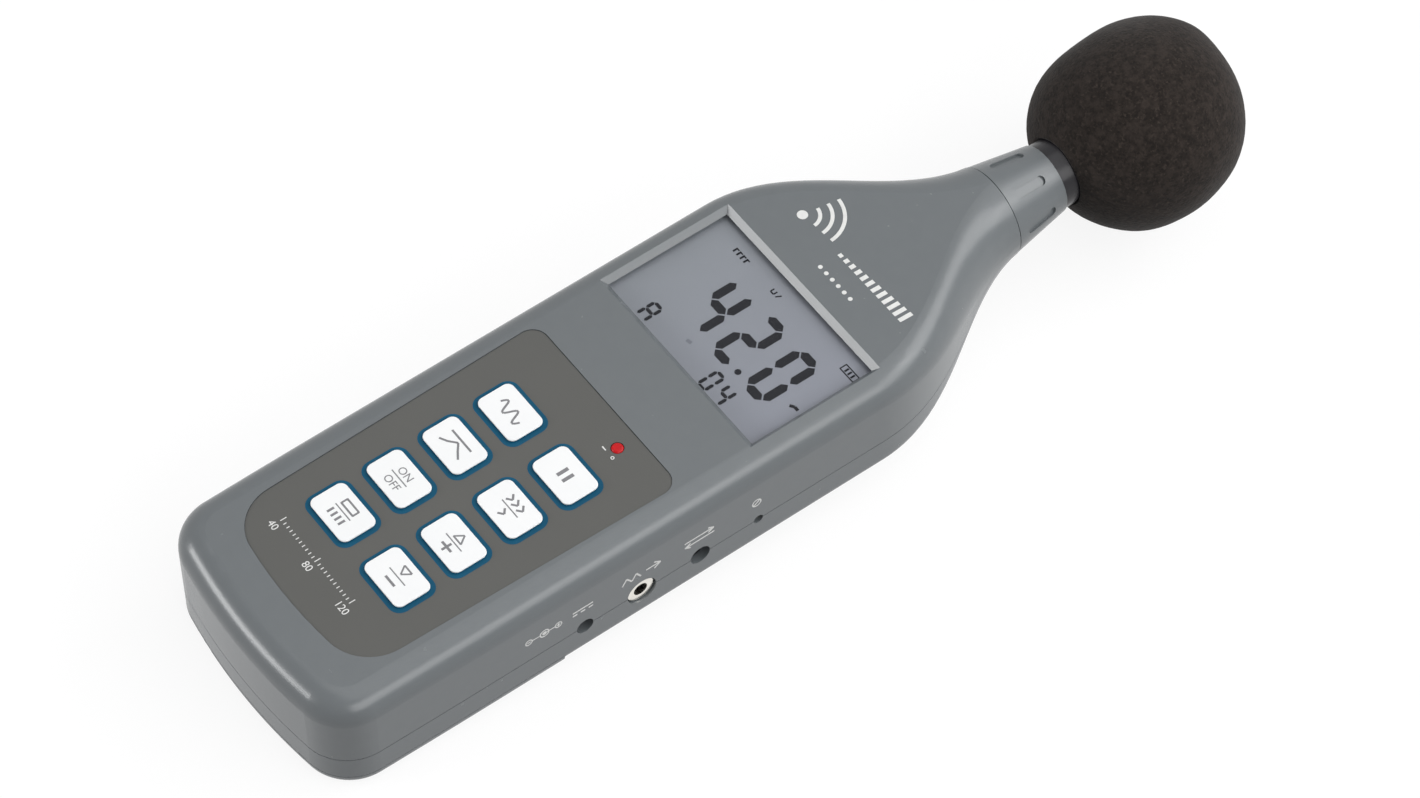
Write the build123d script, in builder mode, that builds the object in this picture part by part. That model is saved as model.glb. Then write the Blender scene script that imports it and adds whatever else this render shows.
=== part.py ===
from build123d import *
import math
import os

os.makedirs("parts", exist_ok=True)

# Handheld sound level meter, lying on its back. Millimetres.
# The origin is the mouth of the tripod thread in the back of the housing.
# +X points to the side with the sockets, +Y runs along the body to the microphone,
# and +Z comes out of the display side. The back of the housing is the plane Z = 0.

# ---- Housing, outside --------------------------------------------------------
body_width = 67.6
body_thickness = 29.0
thread_to_bottom = 89.3  # tripod thread to the bottom end of the housing
thread_to_shoulder = 60.0  # tripod thread to where the shoulder taper starts
thread_to_collar = 116.2  # tripod thread to the joint under the microphone collar
thread_to_bow = 40.0  # below this far from the thread the sides draw in
side_bow = 0.4  # how far each side draws in down to the bottom end
end_bow = 3.7  # rise of the bottom end's arc from its middle to its corners
end_corner_radius = 12.0
front_edge_radius = 6.4
rear_edge_radius = 3.0
shoulder_handle = 23.3  # length of the shoulder curve's handle on the body side
neck_handle = 20.3  # length of its handle on the neck side
neck_radius = 11.4
neck_taper = 0.172  # loss of radius per millimetre along the neck and the collar
neck_axis_height = 13.8
shoulder_steps = 6  # cross-sections through the shoulder
corner_lead = 0.7  # below 1, the front edge rounds off ahead of the taper

# ---- Housing, inside ---------------------------------------------------------
wall = 2.2
least_radius = 0.8
seam_reveal = 0.2  # open line left between the shells outside
lip_height = 1.2
lip_clearance = 0.12
boss_radius = 3.1
case_screw_radius = 1.25
case_screw_head_radius = 2.3
case_screw_head_height = 1.6
case_screw_length = 12.0
case_screw_seat = 5.5  # height of the seat under each screw head
case_screw_top_inset = 11.8  # upper screws, from the sides
case_screw_top_lead = 12.0  # upper screws, beyond the start of the shoulder
case_screw_low_inset = 6.6  # lower screws, from the sides
case_screw_low_rise = 12.3  # lower screws, from the bottom end
case_screw_slot_width = 0.8
case_screw_slot_depth = 0.8

# ---- Fits --------------------------------------------------------------------
running_clearance = 0.08  # radial, for parts that turn in a bore
slide_clearance = 0.25  # around a key or a door
seat_clearance = 0.1
soft_clearance = 0.3
cut_margin = 1.0  # cutters reach this far past the face they open

# ---- Keypad ------------------------------------------------------------------
key_columns = 2
key_rows = 4
key_pitch_x = 20.75
key_pitch_y = 14.75
key_width = 11.9
key_height = 8.1
key_corner_radius = 1.7
key_first_row = -54.1
key_stand = 0.5  # key tops above the overlay
key_travel = 0.4
key_edge = 0.3
key_flange = 1.0  # width and thickness of the flange that keeps a key in
key_post_margin = 2.0  # the post under a key is narrower by this on each side
key_guide_depth = 2.4  # depth of the guide below the front wall
key_guide_wall = 1.0
mat_thickness = 1.0
mat_margin = 4.5  # mat beyond the outermost keys
mat_corner_radius = 2.0
overlay_thickness = 0.3
overlay_sink = 0.2  # overlay surface below the front face
overlay_top = 8.8
overlay_bottom_rise = 13.5  # overlay's lower edge, from the bottom end
overlay_side_top = 7.0  # bare housing beside the overlay, at its top
overlay_side_bottom = 8.6  # the same, at its bottom
overlay_bow = 2.6
overlay_corner_top = 4.0
overlay_corner_bottom = 11.5
lamp_x = 10.9
lamp_y = 3.7
lamp_radius = 1.45
lamp_flange_radius = 1.9
lamp_flange_height = 1.0
lamp_stand = 0.3  # top of the lamp's dome above the overlay

# ---- Display -----------------------------------------------------------------
display_drop = 15.1  # middle of the display, below the start of the shoulder
window_side = 5.6  # bare housing beside the window
window_height = 35.7  # opening in the front face
window_bevel = 1.4
window_depth = 1.45  # from the front face down to the window glass
lens_overlap = 1.1
lens_thickness = 1.2
lens_rim_wall = 1.2
panel_overlap = 1.2  # display glass hidden beyond the window at the sides
panel_overlap_ends = 1.55
panel_thickness = 2.6
strip_height = 2.05  # display glass above the main board
holder_wall = 1.3
holder_ledge = 3.0
holder_lead = 1.0  # the glass stands above its holder by this much
holder_pin_radius = 0.8
holder_pin_spacing = 20.0
strip_width = 2.0
strip_margin = 4.0

# ---- Boards ------------------------------------------------------------------
board_thickness = 1.6
board_side_gap = 2.0  # between the main board and the side walls
board_low_rise = 26.3  # main board's lower end, from the bottom end
board_high_lead = 5.0  # main board's upper end, beyond the start of the shoulder
board_spacing = 6.0  # between the two boards
board_corner_radius = 3.0
board_screw_inset = 3.0  # from the main board's edges
board_screw_ys = (-57.0, 17.0)
board_screw_radius = 0.9
board_screw_head_radius = 1.9
board_screw_head_height = 1.2
board_boss_radius = 2.4
signal_board_left = -20.0
signal_board_low = -27.0
signal_board_high = 50.0
spacer_radius = 2.0
spacer_stud_radius = 1.2
spacer_inset = 4.0  # left spacers, from the signal board's left edge
spacer_jack_gap = 2.4  # between the sockets and the heads of the right spacers' screws
spacer_ys = (-23.0, 46.0)
header_x = -4.0
header_y = 30.0
header_pins = 10
header_pitch = 2.0
header_width = 2.5
processor_size = 14.0
processor_height = 1.4
processor_y = -42.0
crystal_radius = 1.5
crystal_length = 7.0
crystal_y = -28.0
chip_width = 4.0
chip_length = 8.6
chip_height = 1.5
chip_ys = (-6.0, 6.0, 18.0)
chip_x = 4.0
capacitor_radius = 2.5
capacitor_height = 5.0
capacitor_ys = (-14.0, -4.0, 6.0)
capacitor_x = -12.0

# ---- Sockets on the side -----------------------------------------------------
power_y = -21.9
output_y = -6.6
serial_y = 9.2
trimmer_y = 25.1
jack_length = 14.0
jack_width = 7.0
jack_height = 6.0
jack_wall_gap = 0.3  # jack bodies stay this far inside the housing wall
plug_radius = 1.78
plug_depth = 13.0
power_bore_radius = 1.8
power_bore_depth = 10.0
power_pin_radius = 0.65
power_pin_length = 9.0
power_hole_radius = 2.2
output_hole_radius = 3.8
output_bush_radius = 3.45
output_bush_length = 1.9
serial_hole_radius = 2.6
trimmer_hole_radius = 1.25
trimmer_size = 4.6
trimmer_length = 7.0
rotor_radius = 1.15
rotor_depth = 1.8
rotor_slot_width = 0.5
rotor_slot_depth = 0.6

# ---- Battery bay and door ----------------------------------------------------
cell_radius = 5.25
cell_length = 44.5
cell_nub_radius = 1.9
cell_nub_length = 1.0
cell_count = 4
cell_pitch = 10.9
contact_room = 2.75  # between a cell's end and the bay's end wall
bay_wall = 1.2
bay_end_gap = 2.9  # between the bay's wall and the housing's bottom wall
contact_thickness = 0.4
contact_height = 7.0
contact_width = 5.0
contact_gap = 0.1  # play left between a contact and a cell
door_cover = 5.5  # the door reaches this far past the bay
door_wall = 1.6
door_stand = 0.8  # the door stands proud of the back by this much
door_rim = 2.5  # height of the door's rim above the back plane
pocket_floor = 1.8
rail_inset = 3.2  # from the inside of the door's rim to the inner face of each rail
rail_thickness = 0.9
rail_foot_height = 0.5
rail_low_gap = 3.0  # from the lower screws to the rails
rail_high_gap = 3.5  # from the rails to the door's upper end
rail_play = 0.2
grip_count = 5
grip_pitch = 2.2
grip_length = 18.0
grip_depth = 0.5

# ---- Tripod thread -----------------------------------------------------------
thread_radius = 2.55  # minor radius of a 1/4 inch tripod thread
thread_depth = 8.0
insert_radius = 4.2
insert_wall = 2.0

# ---- Microphone --------------------------------------------------------------
collar_length = 15.7
collar_gap = 0.2
collar_recesses = 7
recess_length = 9.0
recess_width = 2.4
recess_depth = 0.6
recess_middle = 7.3  # middle of each recess from the collar's lower end
recess_first_angle = 29.5
stem_radius = 7.2  # microphone stem inside the collar
stem_low = 100.0
stem_bore = 5.5
stem_flange_radius = 8.6
stem_flange_length = 2.5
web_low = 105.0  # wall across the neck that holds the stem
web_thickness = 5.0
preamp_length = 24.0
preamp_thickness = 1.2
base_radius = 8.3  # visible foot of the microphone
base_length = 7.0
capsule_radius = 6.35  # half inch microphone
bottom_to_tip = 268.0  # overall length without the windscreen
capsule_wall = 0.85
grid_length = 6.0
grid_wall = 0.6
grid_slots = 8
grid_slot_width = 1.2
grid_slot_length = 3.6
grid_hole_radius = 0.7
grid_hole_circle = 3.4
diaphragm_thickness = 0.3
backplate_radius = 4.6
backplate_length = 4.0
backplate_gap = 0.2
insulator_length = 3.0
windscreen_radius = 25.2
thread_to_ball = 159.3

# ---- Worked out from the above -----------------------------------------------
half_width = body_width / 2
inside_top = body_thickness - wall
overlay_floor = body_thickness - overlay_sink - overlay_thickness
overlay_surface = body_thickness - overlay_sink
overlay_bottom = overlay_bottom_rise - thread_to_bottom
overlay_half_top = half_width - overlay_side_top
overlay_half_bottom = half_width - overlay_side_bottom
lens_top = body_thickness - window_depth
lens_bottom = lens_top - lens_thickness
panel_top = lens_bottom - seat_clearance
panel_bottom = panel_top - panel_thickness
main_board_top = panel_bottom - strip_height
main_board_bottom = main_board_top - board_thickness
main_board_half_width = half_width - wall - board_side_gap
main_board_low = board_low_rise - thread_to_bottom
main_board_high = thread_to_shoulder + board_high_lead
signal_board_top = main_board_bottom - board_spacing
signal_board_bottom = signal_board_top - board_thickness
signal_board_right = half_width - wall - board_side_gap
seam_height = signal_board_bottom - jack_height / 2  # the shells part level with the sockets
key_top = overlay_surface + key_stand
key_guide_end = inside_top - key_guide_depth
key_flange_top = key_guide_end - seat_clearance
key_flange_bottom = key_flange_top - key_flange
key_post_bottom = main_board_top + key_travel + seat_clearance
key_columns_x = [key_pitch_x * (column - (key_columns - 1) / 2) for column in range(key_columns)]
key_rows_y = [key_first_row + key_pitch_y * row for row in range(key_rows)]
key_middle_y = sum(key_rows_y) / key_rows
display_y = thread_to_shoulder - display_drop
window_width = 2 * (half_width - window_side)
glass_width = window_width - 2 * window_bevel  # what the window shows of the display
glass_height = window_height - 2 * window_bevel
lens_width = glass_width + 2 * lens_overlap
lens_height = glass_height + 2 * lens_overlap
panel_width = glass_width + 2 * panel_overlap
panel_height = glass_height + 2 * panel_overlap_ends
board_screw_x = main_board_half_width - board_screw_inset
bay_length = cell_length + 2 * contact_room
bay_half_width = ((cell_count - 1) * cell_pitch) / 2 + cell_radius + soft_clearance
bay_y = bay_length / 2 + bay_wall + bay_end_gap + wall - thread_to_bottom
bay_low = bay_y - bay_length / 2
bay_high = bay_y + bay_length / 2
cell_height = door_wall - door_stand + soft_clearance + cell_radius
cell_columns_x = [cell_pitch * (cell - (cell_count - 1) / 2) for cell in range(cell_count)]
bay_ceiling = cell_height + cell_radius + soft_clearance
door_top_edge = bay_high + door_cover
pocket_top = door_rim + seat_clearance
pocket_inside = pocket_top + pocket_floor
rim_inside = half_width - side_bow - door_wall
rail_x = rim_inside - rail_inset
rail_outside = rail_x + rail_thickness
rail_bottom = door_wall - door_stand + seat_clearance
rail_low = case_screw_low_rise + rail_low_gap - thread_to_bottom
rail_high = door_top_edge - rail_high_gap
hook_bottom = rail_bottom + rail_foot_height + seat_clearance
collar_end = thread_to_collar + collar_length
collar_end_radius = neck_radius - neck_taper * collar_length
base_end = collar_end + base_length
microphone_tip = bottom_to_tip - thread_to_bottom
grid_start = microphone_tip - grid_length
jack_front = half_width - wall - jack_wall_gap
spacer_left_x = signal_board_left + spacer_inset
spacer_right_x = jack_front - jack_length - spacer_jack_gap - board_screw_head_radius


def ease(t):
    """Smooth step from 0 to 1."""
    return t * t * (3 - 2 * t)


def shoulder_point(t):
    """Point of the shoulder's outline: height along Y and half width, on a cubic curve."""
    start = Vector(thread_to_shoulder, half_width)
    leave = start + Vector(shoulder_handle, 0)
    finish = Vector(thread_to_collar, neck_radius)
    arrive = finish + Vector(-neck_handle, neck_taper * neck_handle)
    near = start * (1 - t) ** 3 + leave * (3 * t * (1 - t) ** 2)
    return near + arrive * (3 * t**2 * (1 - t)) + finish * t**3


def shoulder_section(t, inset):
    """Cross-section of the shoulder: a rounded rectangle that turns into the round neck."""
    point = shoulder_point(t)
    half = point.Y - inset
    top_drop = body_thickness - neck_axis_height - neck_radius
    rear_rise = neck_axis_height - neck_radius
    top = body_thickness - top_drop * ease(t) - inset
    bottom = rear_rise * ease(t) + inset
    round_radius = 0.98 * neck_radius
    front = front_edge_radius + (round_radius - front_edge_radius) * ease(t) ** corner_lead - inset
    rear = rear_edge_radius + (round_radius - rear_edge_radius) * ease(t) - inset
    plane = Plane(origin=(0, point.X, 0), x_dir=(-1, 0, 0), z_dir=(0, 1, 0))
    with BuildSketch(plane) as section:
        with Locations((0, (top + bottom) / 2)):
            Rectangle(2 * half, top - bottom)
        fillet(section.vertices().group_by(Axis.Y)[0], max(rear, least_radius))
        fillet(section.vertices().group_by(Axis.Y)[-1], front)
    return section.sketch.face()


def case_form(inset):
    """The housing's outer form drawn in by inset: a bowed slab that flows into a round neck."""
    half = half_width - inset
    corner_x = half - side_bow
    end_y = inset - thread_to_bottom
    corner_y = end_y + end_bow
    with BuildPart() as form:
        with BuildSketch(Plane.XY.offset(inset)) as plan:
            with BuildLine():
                ThreePointArc((-corner_x, corner_y), (0, end_y), (corner_x, corner_y))
                TangentArc((half, -thread_to_bow), (corner_x, corner_y), tangent=(0, -1))
                Line((half, -thread_to_bow), (half, thread_to_shoulder))
                Line((half, thread_to_shoulder), (-half, thread_to_shoulder))
                Line((-half, thread_to_shoulder), (-half, -thread_to_bow))
                TangentArc((-half, -thread_to_bow), (-corner_x, corner_y), tangent=(0, -1))
            make_face()
            fillet(plan.vertices().group_by(Axis.Y)[0], end_corner_radius - inset)
        extrude(amount=body_thickness - 2 * inset)
        front_edges = form.faces().sort_by(Axis.Z)[-1].edges().sort_by(Axis.Y)[:-1]
        fillet(front_edges, front_edge_radius - inset)
        rear_edges = form.faces().sort_by(Axis.Z)[0].edges().sort_by(Axis.Y)[:-1]
        fillet(rear_edges, max(rear_edge_radius - inset, least_radius))
        steps = range(shoulder_steps + 1)
        loft(sections=[shoulder_section(step / shoulder_steps, inset) for step in steps])
    return form.part


def slab(part, low, high):
    """The layer of a part between two heights."""
    with BuildPart() as layer:
        add(part)
        split(bisect_by=Plane.XY.offset(low), keep=Keep.TOP)
        split(bisect_by=Plane.XY.offset(high), keep=Keep.BOTTOM)
    return layer.part


def save(part, name):
    """Label a finished piece and write its STEP file."""
    part.label = name
    export_step(part, f"parts/{name}.step")


def side_plane(x):
    """A plane square to X; its local x runs along Y and its local y up."""
    return Plane(origin=(x, 0, 0), x_dir=(0, 1, 0), z_dir=(1, 0, 0))


def neck_plane(y):
    """A plane square to the microphone axis; its local origin is on the axis."""
    return Plane(origin=(0, y, neck_axis_height), x_dir=(-1, 0, 0), z_dir=(0, 1, 0))


outside = case_form(0)
cavity = case_form(wall)
rebate = case_form(wall / 2)
lip_outside = case_form(wall / 2 + lip_clearance)

case_screw_points = [
    (side * (half_width - inset), y)
    for inset, y in (
        (case_screw_top_inset, thread_to_shoulder + case_screw_top_lead),
        (case_screw_low_inset, case_screw_low_rise - thread_to_bottom),
    )
    for side in (-1, 1)
]
board_screw_points = [(side * board_screw_x, y) for y in board_screw_ys for side in (-1, 1)]
key_points = [(x, y) for y in key_rows_y for x in key_columns_x]
socket_holes = (
    (power_y, power_hole_radius),
    (output_y, output_hole_radius),
    (serial_y, serial_hole_radius),
    (trimmer_y, trimmer_hole_radius),
)


def overlay_outline(grow):
    """Outline of the keypad overlay, made larger all round by grow."""
    with BuildSketch() as outline:
        with BuildLine():
            low = overlay_bottom - grow
            high = overlay_top + grow
            low_x = overlay_half_bottom + grow
            high_x = overlay_half_top + grow
            ThreePointArc((-low_x, low + overlay_bow), (0, low), (low_x, low + overlay_bow))
            Line((low_x, low + overlay_bow), (high_x, high))
            Line((high_x, high), (-high_x, high))
            Line((-high_x, high), (-low_x, low + overlay_bow))
        make_face()
        fillet(outline.vertices().group_by(Axis.Y)[0], overlay_corner_bottom + grow)
        fillet(outline.vertices().group_by(Axis.Y)[-1], overlay_corner_top + grow)
    return outline.sketch


def socket_cutters():
    """Round holes through the side wall, centred on the seam."""
    with BuildPart() as cutters:
        for y, radius in socket_holes:
            with BuildSketch(side_plane(jack_front)):
                with Locations((y, seam_height)):
                    Circle(radius)
            extrude(amount=wall + cut_margin)
    return cutters.part


side_holes = socket_cutters()

# wall across the neck, split between the shells, that grips the microphone stem
with BuildPart() as neck_web:
    with BuildSketch(neck_plane(web_low)):
        Circle(half_width)
        Circle(stem_radius, mode=Mode.SUBTRACT)
    extrude(amount=web_thickness)
    add(cavity, mode=Mode.INTERSECT)

# ---- Front shell -------------------------------------------------------------
with BuildPart() as front_shell:
    add(outside)
    split(bisect_by=Plane.XY.offset(seam_height + seam_reveal / 2), keep=Keep.TOP)
    add(cavity, mode=Mode.SUBTRACT)
    # posts and guides stand on the inside of the front wall, so they are cut to the cavity
    with BuildSketch(Plane.XY.offset(seam_height + seam_reveal / 2)):
        with Locations(*case_screw_points):
            Circle(boss_radius)
    extrude(amount=inside_top - seam_height)
    with BuildSketch(Plane.XY.offset(main_board_top)):
        with Locations(*board_screw_points):
            Circle(board_boss_radius)
    extrude(amount=inside_top - main_board_top)
    with BuildSketch(Plane.XY.offset(key_guide_end)):
        with Locations(*key_points):
            guide = 2 * (key_guide_wall + slide_clearance)
            Rectangle(key_width + guide, key_height + guide)
    extrude(amount=key_guide_depth)
    with BuildSketch(Plane.XY.offset(lens_bottom)):
        with Locations((0, display_y)):
            rim = 2 * (lens_rim_wall + seat_clearance)
            Rectangle(lens_width + rim, lens_height + rim)
            Rectangle(lens_width + 2 * seat_clearance, lens_height + 2 * seat_clearance, mode=Mode.SUBTRACT)
    extrude(amount=lens_thickness)
    with BuildSketch(Plane.XY.offset(lens_bottom)):
        with Locations((0, display_y)):
            Rectangle(lens_width + 2 * seat_clearance, lens_height + 2 * seat_clearance)
    extrude(amount=lens_thickness, mode=Mode.SUBTRACT)
    # lip rebate along the seam
    add(slab(rebate, seam_height, seam_height + lip_height + seat_clearance), mode=Mode.SUBTRACT)
    with BuildSketch(Plane.XY.offset(seam_height)):
        with Locations(*case_screw_points):
            Circle(boss_radius)
    extrude(amount=lip_height + seat_clearance)
    split(bisect_by=Plane.XY.offset(seam_height + seam_reveal / 2), keep=Keep.TOP)
    add(slab(neck_web.part, seam_height + seam_reveal / 2, body_thickness))
    # pilot holes for the screws
    with BuildSketch(Plane.XY.offset(seam_height)):
        with Locations(*case_screw_points):
            Circle(case_screw_radius)
    extrude(amount=case_screw_length, mode=Mode.SUBTRACT)
    with BuildSketch(Plane.XY.offset(main_board_top)):
        with Locations(*board_screw_points):
            Circle(board_screw_radius)
    extrude(amount=inside_top - main_board_top, mode=Mode.SUBTRACT)
    # shallow pocket for the overlay, then the key openings and the lamp hole
    with BuildSketch(Plane.XY.offset(overlay_floor)):
        add(overlay_outline(seat_clearance))
    extrude(amount=overlay_thickness + overlay_sink, mode=Mode.SUBTRACT)
    with BuildSketch(Plane.XY.offset(key_guide_end)):
        with Locations(*key_points):
            opening = 2 * slide_clearance
            RectangleRounded(key_width + opening, key_height + opening, key_corner_radius + slide_clearance)
        with Locations((lamp_x, lamp_y)):
            Circle(lamp_radius + seat_clearance)
    extrude(amount=body_thickness - key_guide_end, mode=Mode.SUBTRACT)
    # display window with sloping sides
    with BuildSketch(Plane.XY.offset(lens_top)):
        with Locations((0, display_y)):
            Rectangle(glass_width, glass_height)
    with BuildSketch(Plane.XY.offset(body_thickness + cut_margin)):
        with Locations((0, display_y)):
            flare = 2 * window_bevel * cut_margin / window_depth
            Rectangle(window_width + flare, window_height + flare)
    loft(mode=Mode.SUBTRACT)
    add(side_holes, mode=Mode.SUBTRACT)
save(front_shell.part, "front_shell")

# ---- Rear shell --------------------------------------------------------------
with BuildPart() as rear_cavity:
    add(cavity)
    with BuildSketch(Plane.XY):
        with Locations((0, door_top_edge + wall)):
            Rectangle(body_width, thread_to_bottom, align=(Align.CENTER, Align.MAX))
    extrude(amount=pocket_inside, mode=Mode.SUBTRACT)

with BuildPart() as rear_shell:
    add(outside)
    split(bisect_by=Plane.XY.offset(seam_height - seam_reveal / 2), keep=Keep.BOTTOM)
    add(rear_cavity.part, mode=Mode.SUBTRACT)
    # lip that keys the two shells together
    add(slab(lip_outside, seam_height - wall, seam_height + lip_height))
    add(slab(cavity, seam_height - wall, seam_height + lip_height), mode=Mode.SUBTRACT)
    add(slab(neck_web.part, 0, seam_height - seam_reveal / 2))
    # screw bosses, tripod boss and the walls of the battery bay
    with BuildSketch(Plane.XY.offset(wall)):
        with Locations(*case_screw_points):
            Circle(boss_radius)
    extrude(amount=seam_height - seam_reveal / 2 - wall)
    with BuildSketch(Plane.XY.offset(wall)):
        Circle(insert_radius + insert_wall)
    extrude(amount=thread_depth + seat_clearance - wall)
    with BuildSketch(Plane.XY.offset(pocket_top)):
        with Locations((0, bay_y)):
            Rectangle(2 * (bay_half_width + bay_wall), bay_length + 2 * bay_wall)
    extrude(amount=bay_ceiling + bay_wall - pocket_top)
    # pocket that the door closes
    with BuildSketch(Plane.XY.offset(-cut_margin)):
        with Locations((0, door_top_edge + seat_clearance)):
            Rectangle(body_width + cut_margin, thread_to_bottom, align=(Align.CENTER, Align.MAX))
    extrude(amount=pocket_top + cut_margin, mode=Mode.SUBTRACT)
    with BuildSketch(Plane.XY.offset(pocket_top)):
        with Locations((0, bay_y)):
            Rectangle(2 * bay_half_width, bay_length)
    extrude(amount=bay_ceiling - pocket_top, mode=Mode.SUBTRACT)
    # rails under the pocket floor that the door hooks over
    for side in (-1, 1):
        outward = Align.MIN if side > 0 else Align.MAX
        with BuildSketch(Plane.XZ.offset(-rail_low)):
            with Locations((side * rail_x, rail_bottom)):
                Rectangle(rail_thickness, pocket_top - rail_bottom, align=(outward, Align.MIN))
                Rectangle(2 * rail_thickness, rail_foot_height, align=(outward, Align.MIN))
        extrude(amount=rail_low - rail_high)
    # seats for the screw heads, clearance for the shanks
    with BuildSketch(Plane.XY.offset(-cut_margin)):
        with Locations(*case_screw_points):
            Circle(case_screw_head_radius + seat_clearance)
    extrude(amount=case_screw_seat + cut_margin, mode=Mode.SUBTRACT)
    with BuildSketch(Plane.XY):
        with Locations(*case_screw_points):
            Circle(case_screw_radius + seat_clearance)
    extrude(amount=seam_height, mode=Mode.SUBTRACT)
    with BuildSketch(Plane.XY):
        Circle(insert_radius)
    extrude(amount=thread_depth, mode=Mode.SUBTRACT)
    add(side_holes, mode=Mode.SUBTRACT)
save(rear_shell.part, "rear_shell")

# ---- Battery door ------------------------------------------------------------
with BuildPart() as battery_door:
    add(outside.moved(Location((0, 0, -door_stand))))
    split(bisect_by=Plane.XY.offset(door_rim), keep=Keep.BOTTOM)
    split(bisect_by=Plane.XZ.offset(-door_top_edge), keep=Keep.TOP)
    add(case_form(door_wall).moved(Location((0, 0, -door_stand))), mode=Mode.SUBTRACT)
    # hooks inside the rim that slide over the rails
    for side in (-1, 1):
        outward = Align.MIN if side > 0 else Align.MAX
        with BuildSketch(Plane.XZ.offset(-rail_low)):
            with Locations((side * (rail_outside + rail_play), hook_bottom)):
                hook_length = rim_inside + door_wall / 2 - rail_outside - rail_play
                hook_height = door_rim - hook_bottom
                Rectangle(hook_length, hook_height, align=(outward, Align.MIN))
        extrude(amount=rail_low - rail_high)
    # grip grooves for the thumb
    with BuildSketch(Plane.XY.offset(-door_stand)):
        with Locations((0, door_top_edge - grip_count * grip_pitch)):
            with GridLocations(1, grip_pitch, 1, grip_count):
                SlotOverall(grip_length, grip_pitch / 2)
    extrude(amount=grip_depth, mode=Mode.SUBTRACT)
save(battery_door.part, "battery_door")

# ---- Case screws and tripod insert -------------------------------------------
with BuildPart() as case_screws:
    with BuildSketch(Plane.XY.offset(case_screw_seat - case_screw_head_height)):
        with Locations(*case_screw_points):
            Circle(case_screw_head_radius)
    extrude(amount=case_screw_head_height)
    with BuildSketch(Plane.XY.offset(case_screw_seat)):
        with Locations(*case_screw_points):
            Circle(case_screw_radius)
    extrude(amount=case_screw_length)
    with BuildSketch(Plane.XY.offset(case_screw_seat - case_screw_head_height)):
        with Locations(*case_screw_points):
            Rectangle(2 * case_screw_head_radius - case_screw_slot_width, case_screw_slot_width)
            Rectangle(case_screw_slot_width, 2 * case_screw_head_radius - case_screw_slot_width)
    extrude(amount=case_screw_slot_depth, mode=Mode.SUBTRACT)
save(case_screws.part, "case_screws")

with BuildPart() as tripod_insert:
    with BuildSketch(Plane.XY):
        Circle(insert_radius)
        Circle(thread_radius, mode=Mode.SUBTRACT)
    extrude(amount=thread_depth)
save(tripod_insert.part, "tripod_insert")

# ---- Overlay, keys and mat ---------------------------------------------------
with BuildPart() as keypad_overlay:
    with BuildSketch(Plane.XY.offset(overlay_floor)):
        add(overlay_outline(0))
        with Locations(*key_points):
            opening = 2 * slide_clearance
            corner = key_corner_radius + slide_clearance
            RectangleRounded(key_width + opening, key_height + opening, corner, mode=Mode.SUBTRACT)
        with Locations((lamp_x, lamp_y)):
            Circle(lamp_radius + seat_clearance, mode=Mode.SUBTRACT)
    extrude(amount=overlay_thickness)
save(keypad_overlay.part, "keypad_overlay")


def key_body(x, y):
    """One key: a cap with softened edges, a flange that keeps it in and a post for the mat."""
    with BuildPart() as key:
        with BuildSketch(Plane.XY.offset(key_flange_top)):
            with Locations((x, y)):
                RectangleRounded(key_width, key_height, key_corner_radius)
        extrude(amount=key_top - key_flange_top)
        chamfer(key.faces().sort_by(Axis.Z)[-1].edges(), key_edge)
        with BuildSketch(Plane.XY.offset(key_flange_bottom)):
            with Locations((x, y)):
                flange = 2 * key_flange
                Rectangle(key_width + flange, key_height + flange)
        extrude(amount=key_flange)
        with BuildSketch(Plane.XY.offset(key_post_bottom)):
            with Locations((x, y)):
                Rectangle(key_width - 2 * key_post_margin, key_height - 2 * key_post_margin)
        extrude(amount=key_flange_bottom - key_post_bottom)
    return key.part


# from the bottom row up, left key before right key
key_names = (
    "key_memory",
    "key_down",
    "key_power",
    "key_up",
    "key_max_hold",
    "key_speed",
    "key_function",
    "key_hold",
)
for name, (x, y) in zip(key_names, key_points):
    save(key_body(x, y), name)

with BuildPart() as keypad_mat:
    with BuildSketch(Plane.XY.offset(main_board_top)):
        with Locations((0, key_middle_y)):
            mat_width = (key_columns - 1) * key_pitch_x + key_width + 2 * mat_margin
            mat_height = (key_rows - 1) * key_pitch_y + key_height + 2 * mat_margin
            RectangleRounded(mat_width, mat_height, mat_corner_radius)
        with Locations(*key_points):
            relief = 2 * (slide_clearance + seat_clearance - key_post_margin)
            Rectangle(key_width + relief, key_height + relief, mode=Mode.SUBTRACT)
    extrude(amount=mat_thickness)
save(keypad_mat.part, "keypad_mat")

# ---- Display -----------------------------------------------------------------
with BuildPart() as display_lens:
    with BuildSketch(Plane.XY.offset(lens_bottom)):
        with Locations((0, display_y)):
            Rectangle(lens_width, lens_height)
    extrude(amount=lens_thickness)
save(display_lens.part, "display_lens")

with BuildPart() as lcd_panel:
    with BuildSketch(Plane.XY.offset(panel_bottom)):
        with Locations((0, display_y)):
            Rectangle(panel_width, panel_height)
    extrude(amount=panel_thickness)
save(lcd_panel.part, "lcd_panel")

holder_pins = [
    (side * (panel_width / 2 - holder_ledge / 2), display_y + end * holder_pin_spacing / 2)
    for side in (-1, 1)
    for end in (-1, 1)
]

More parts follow.
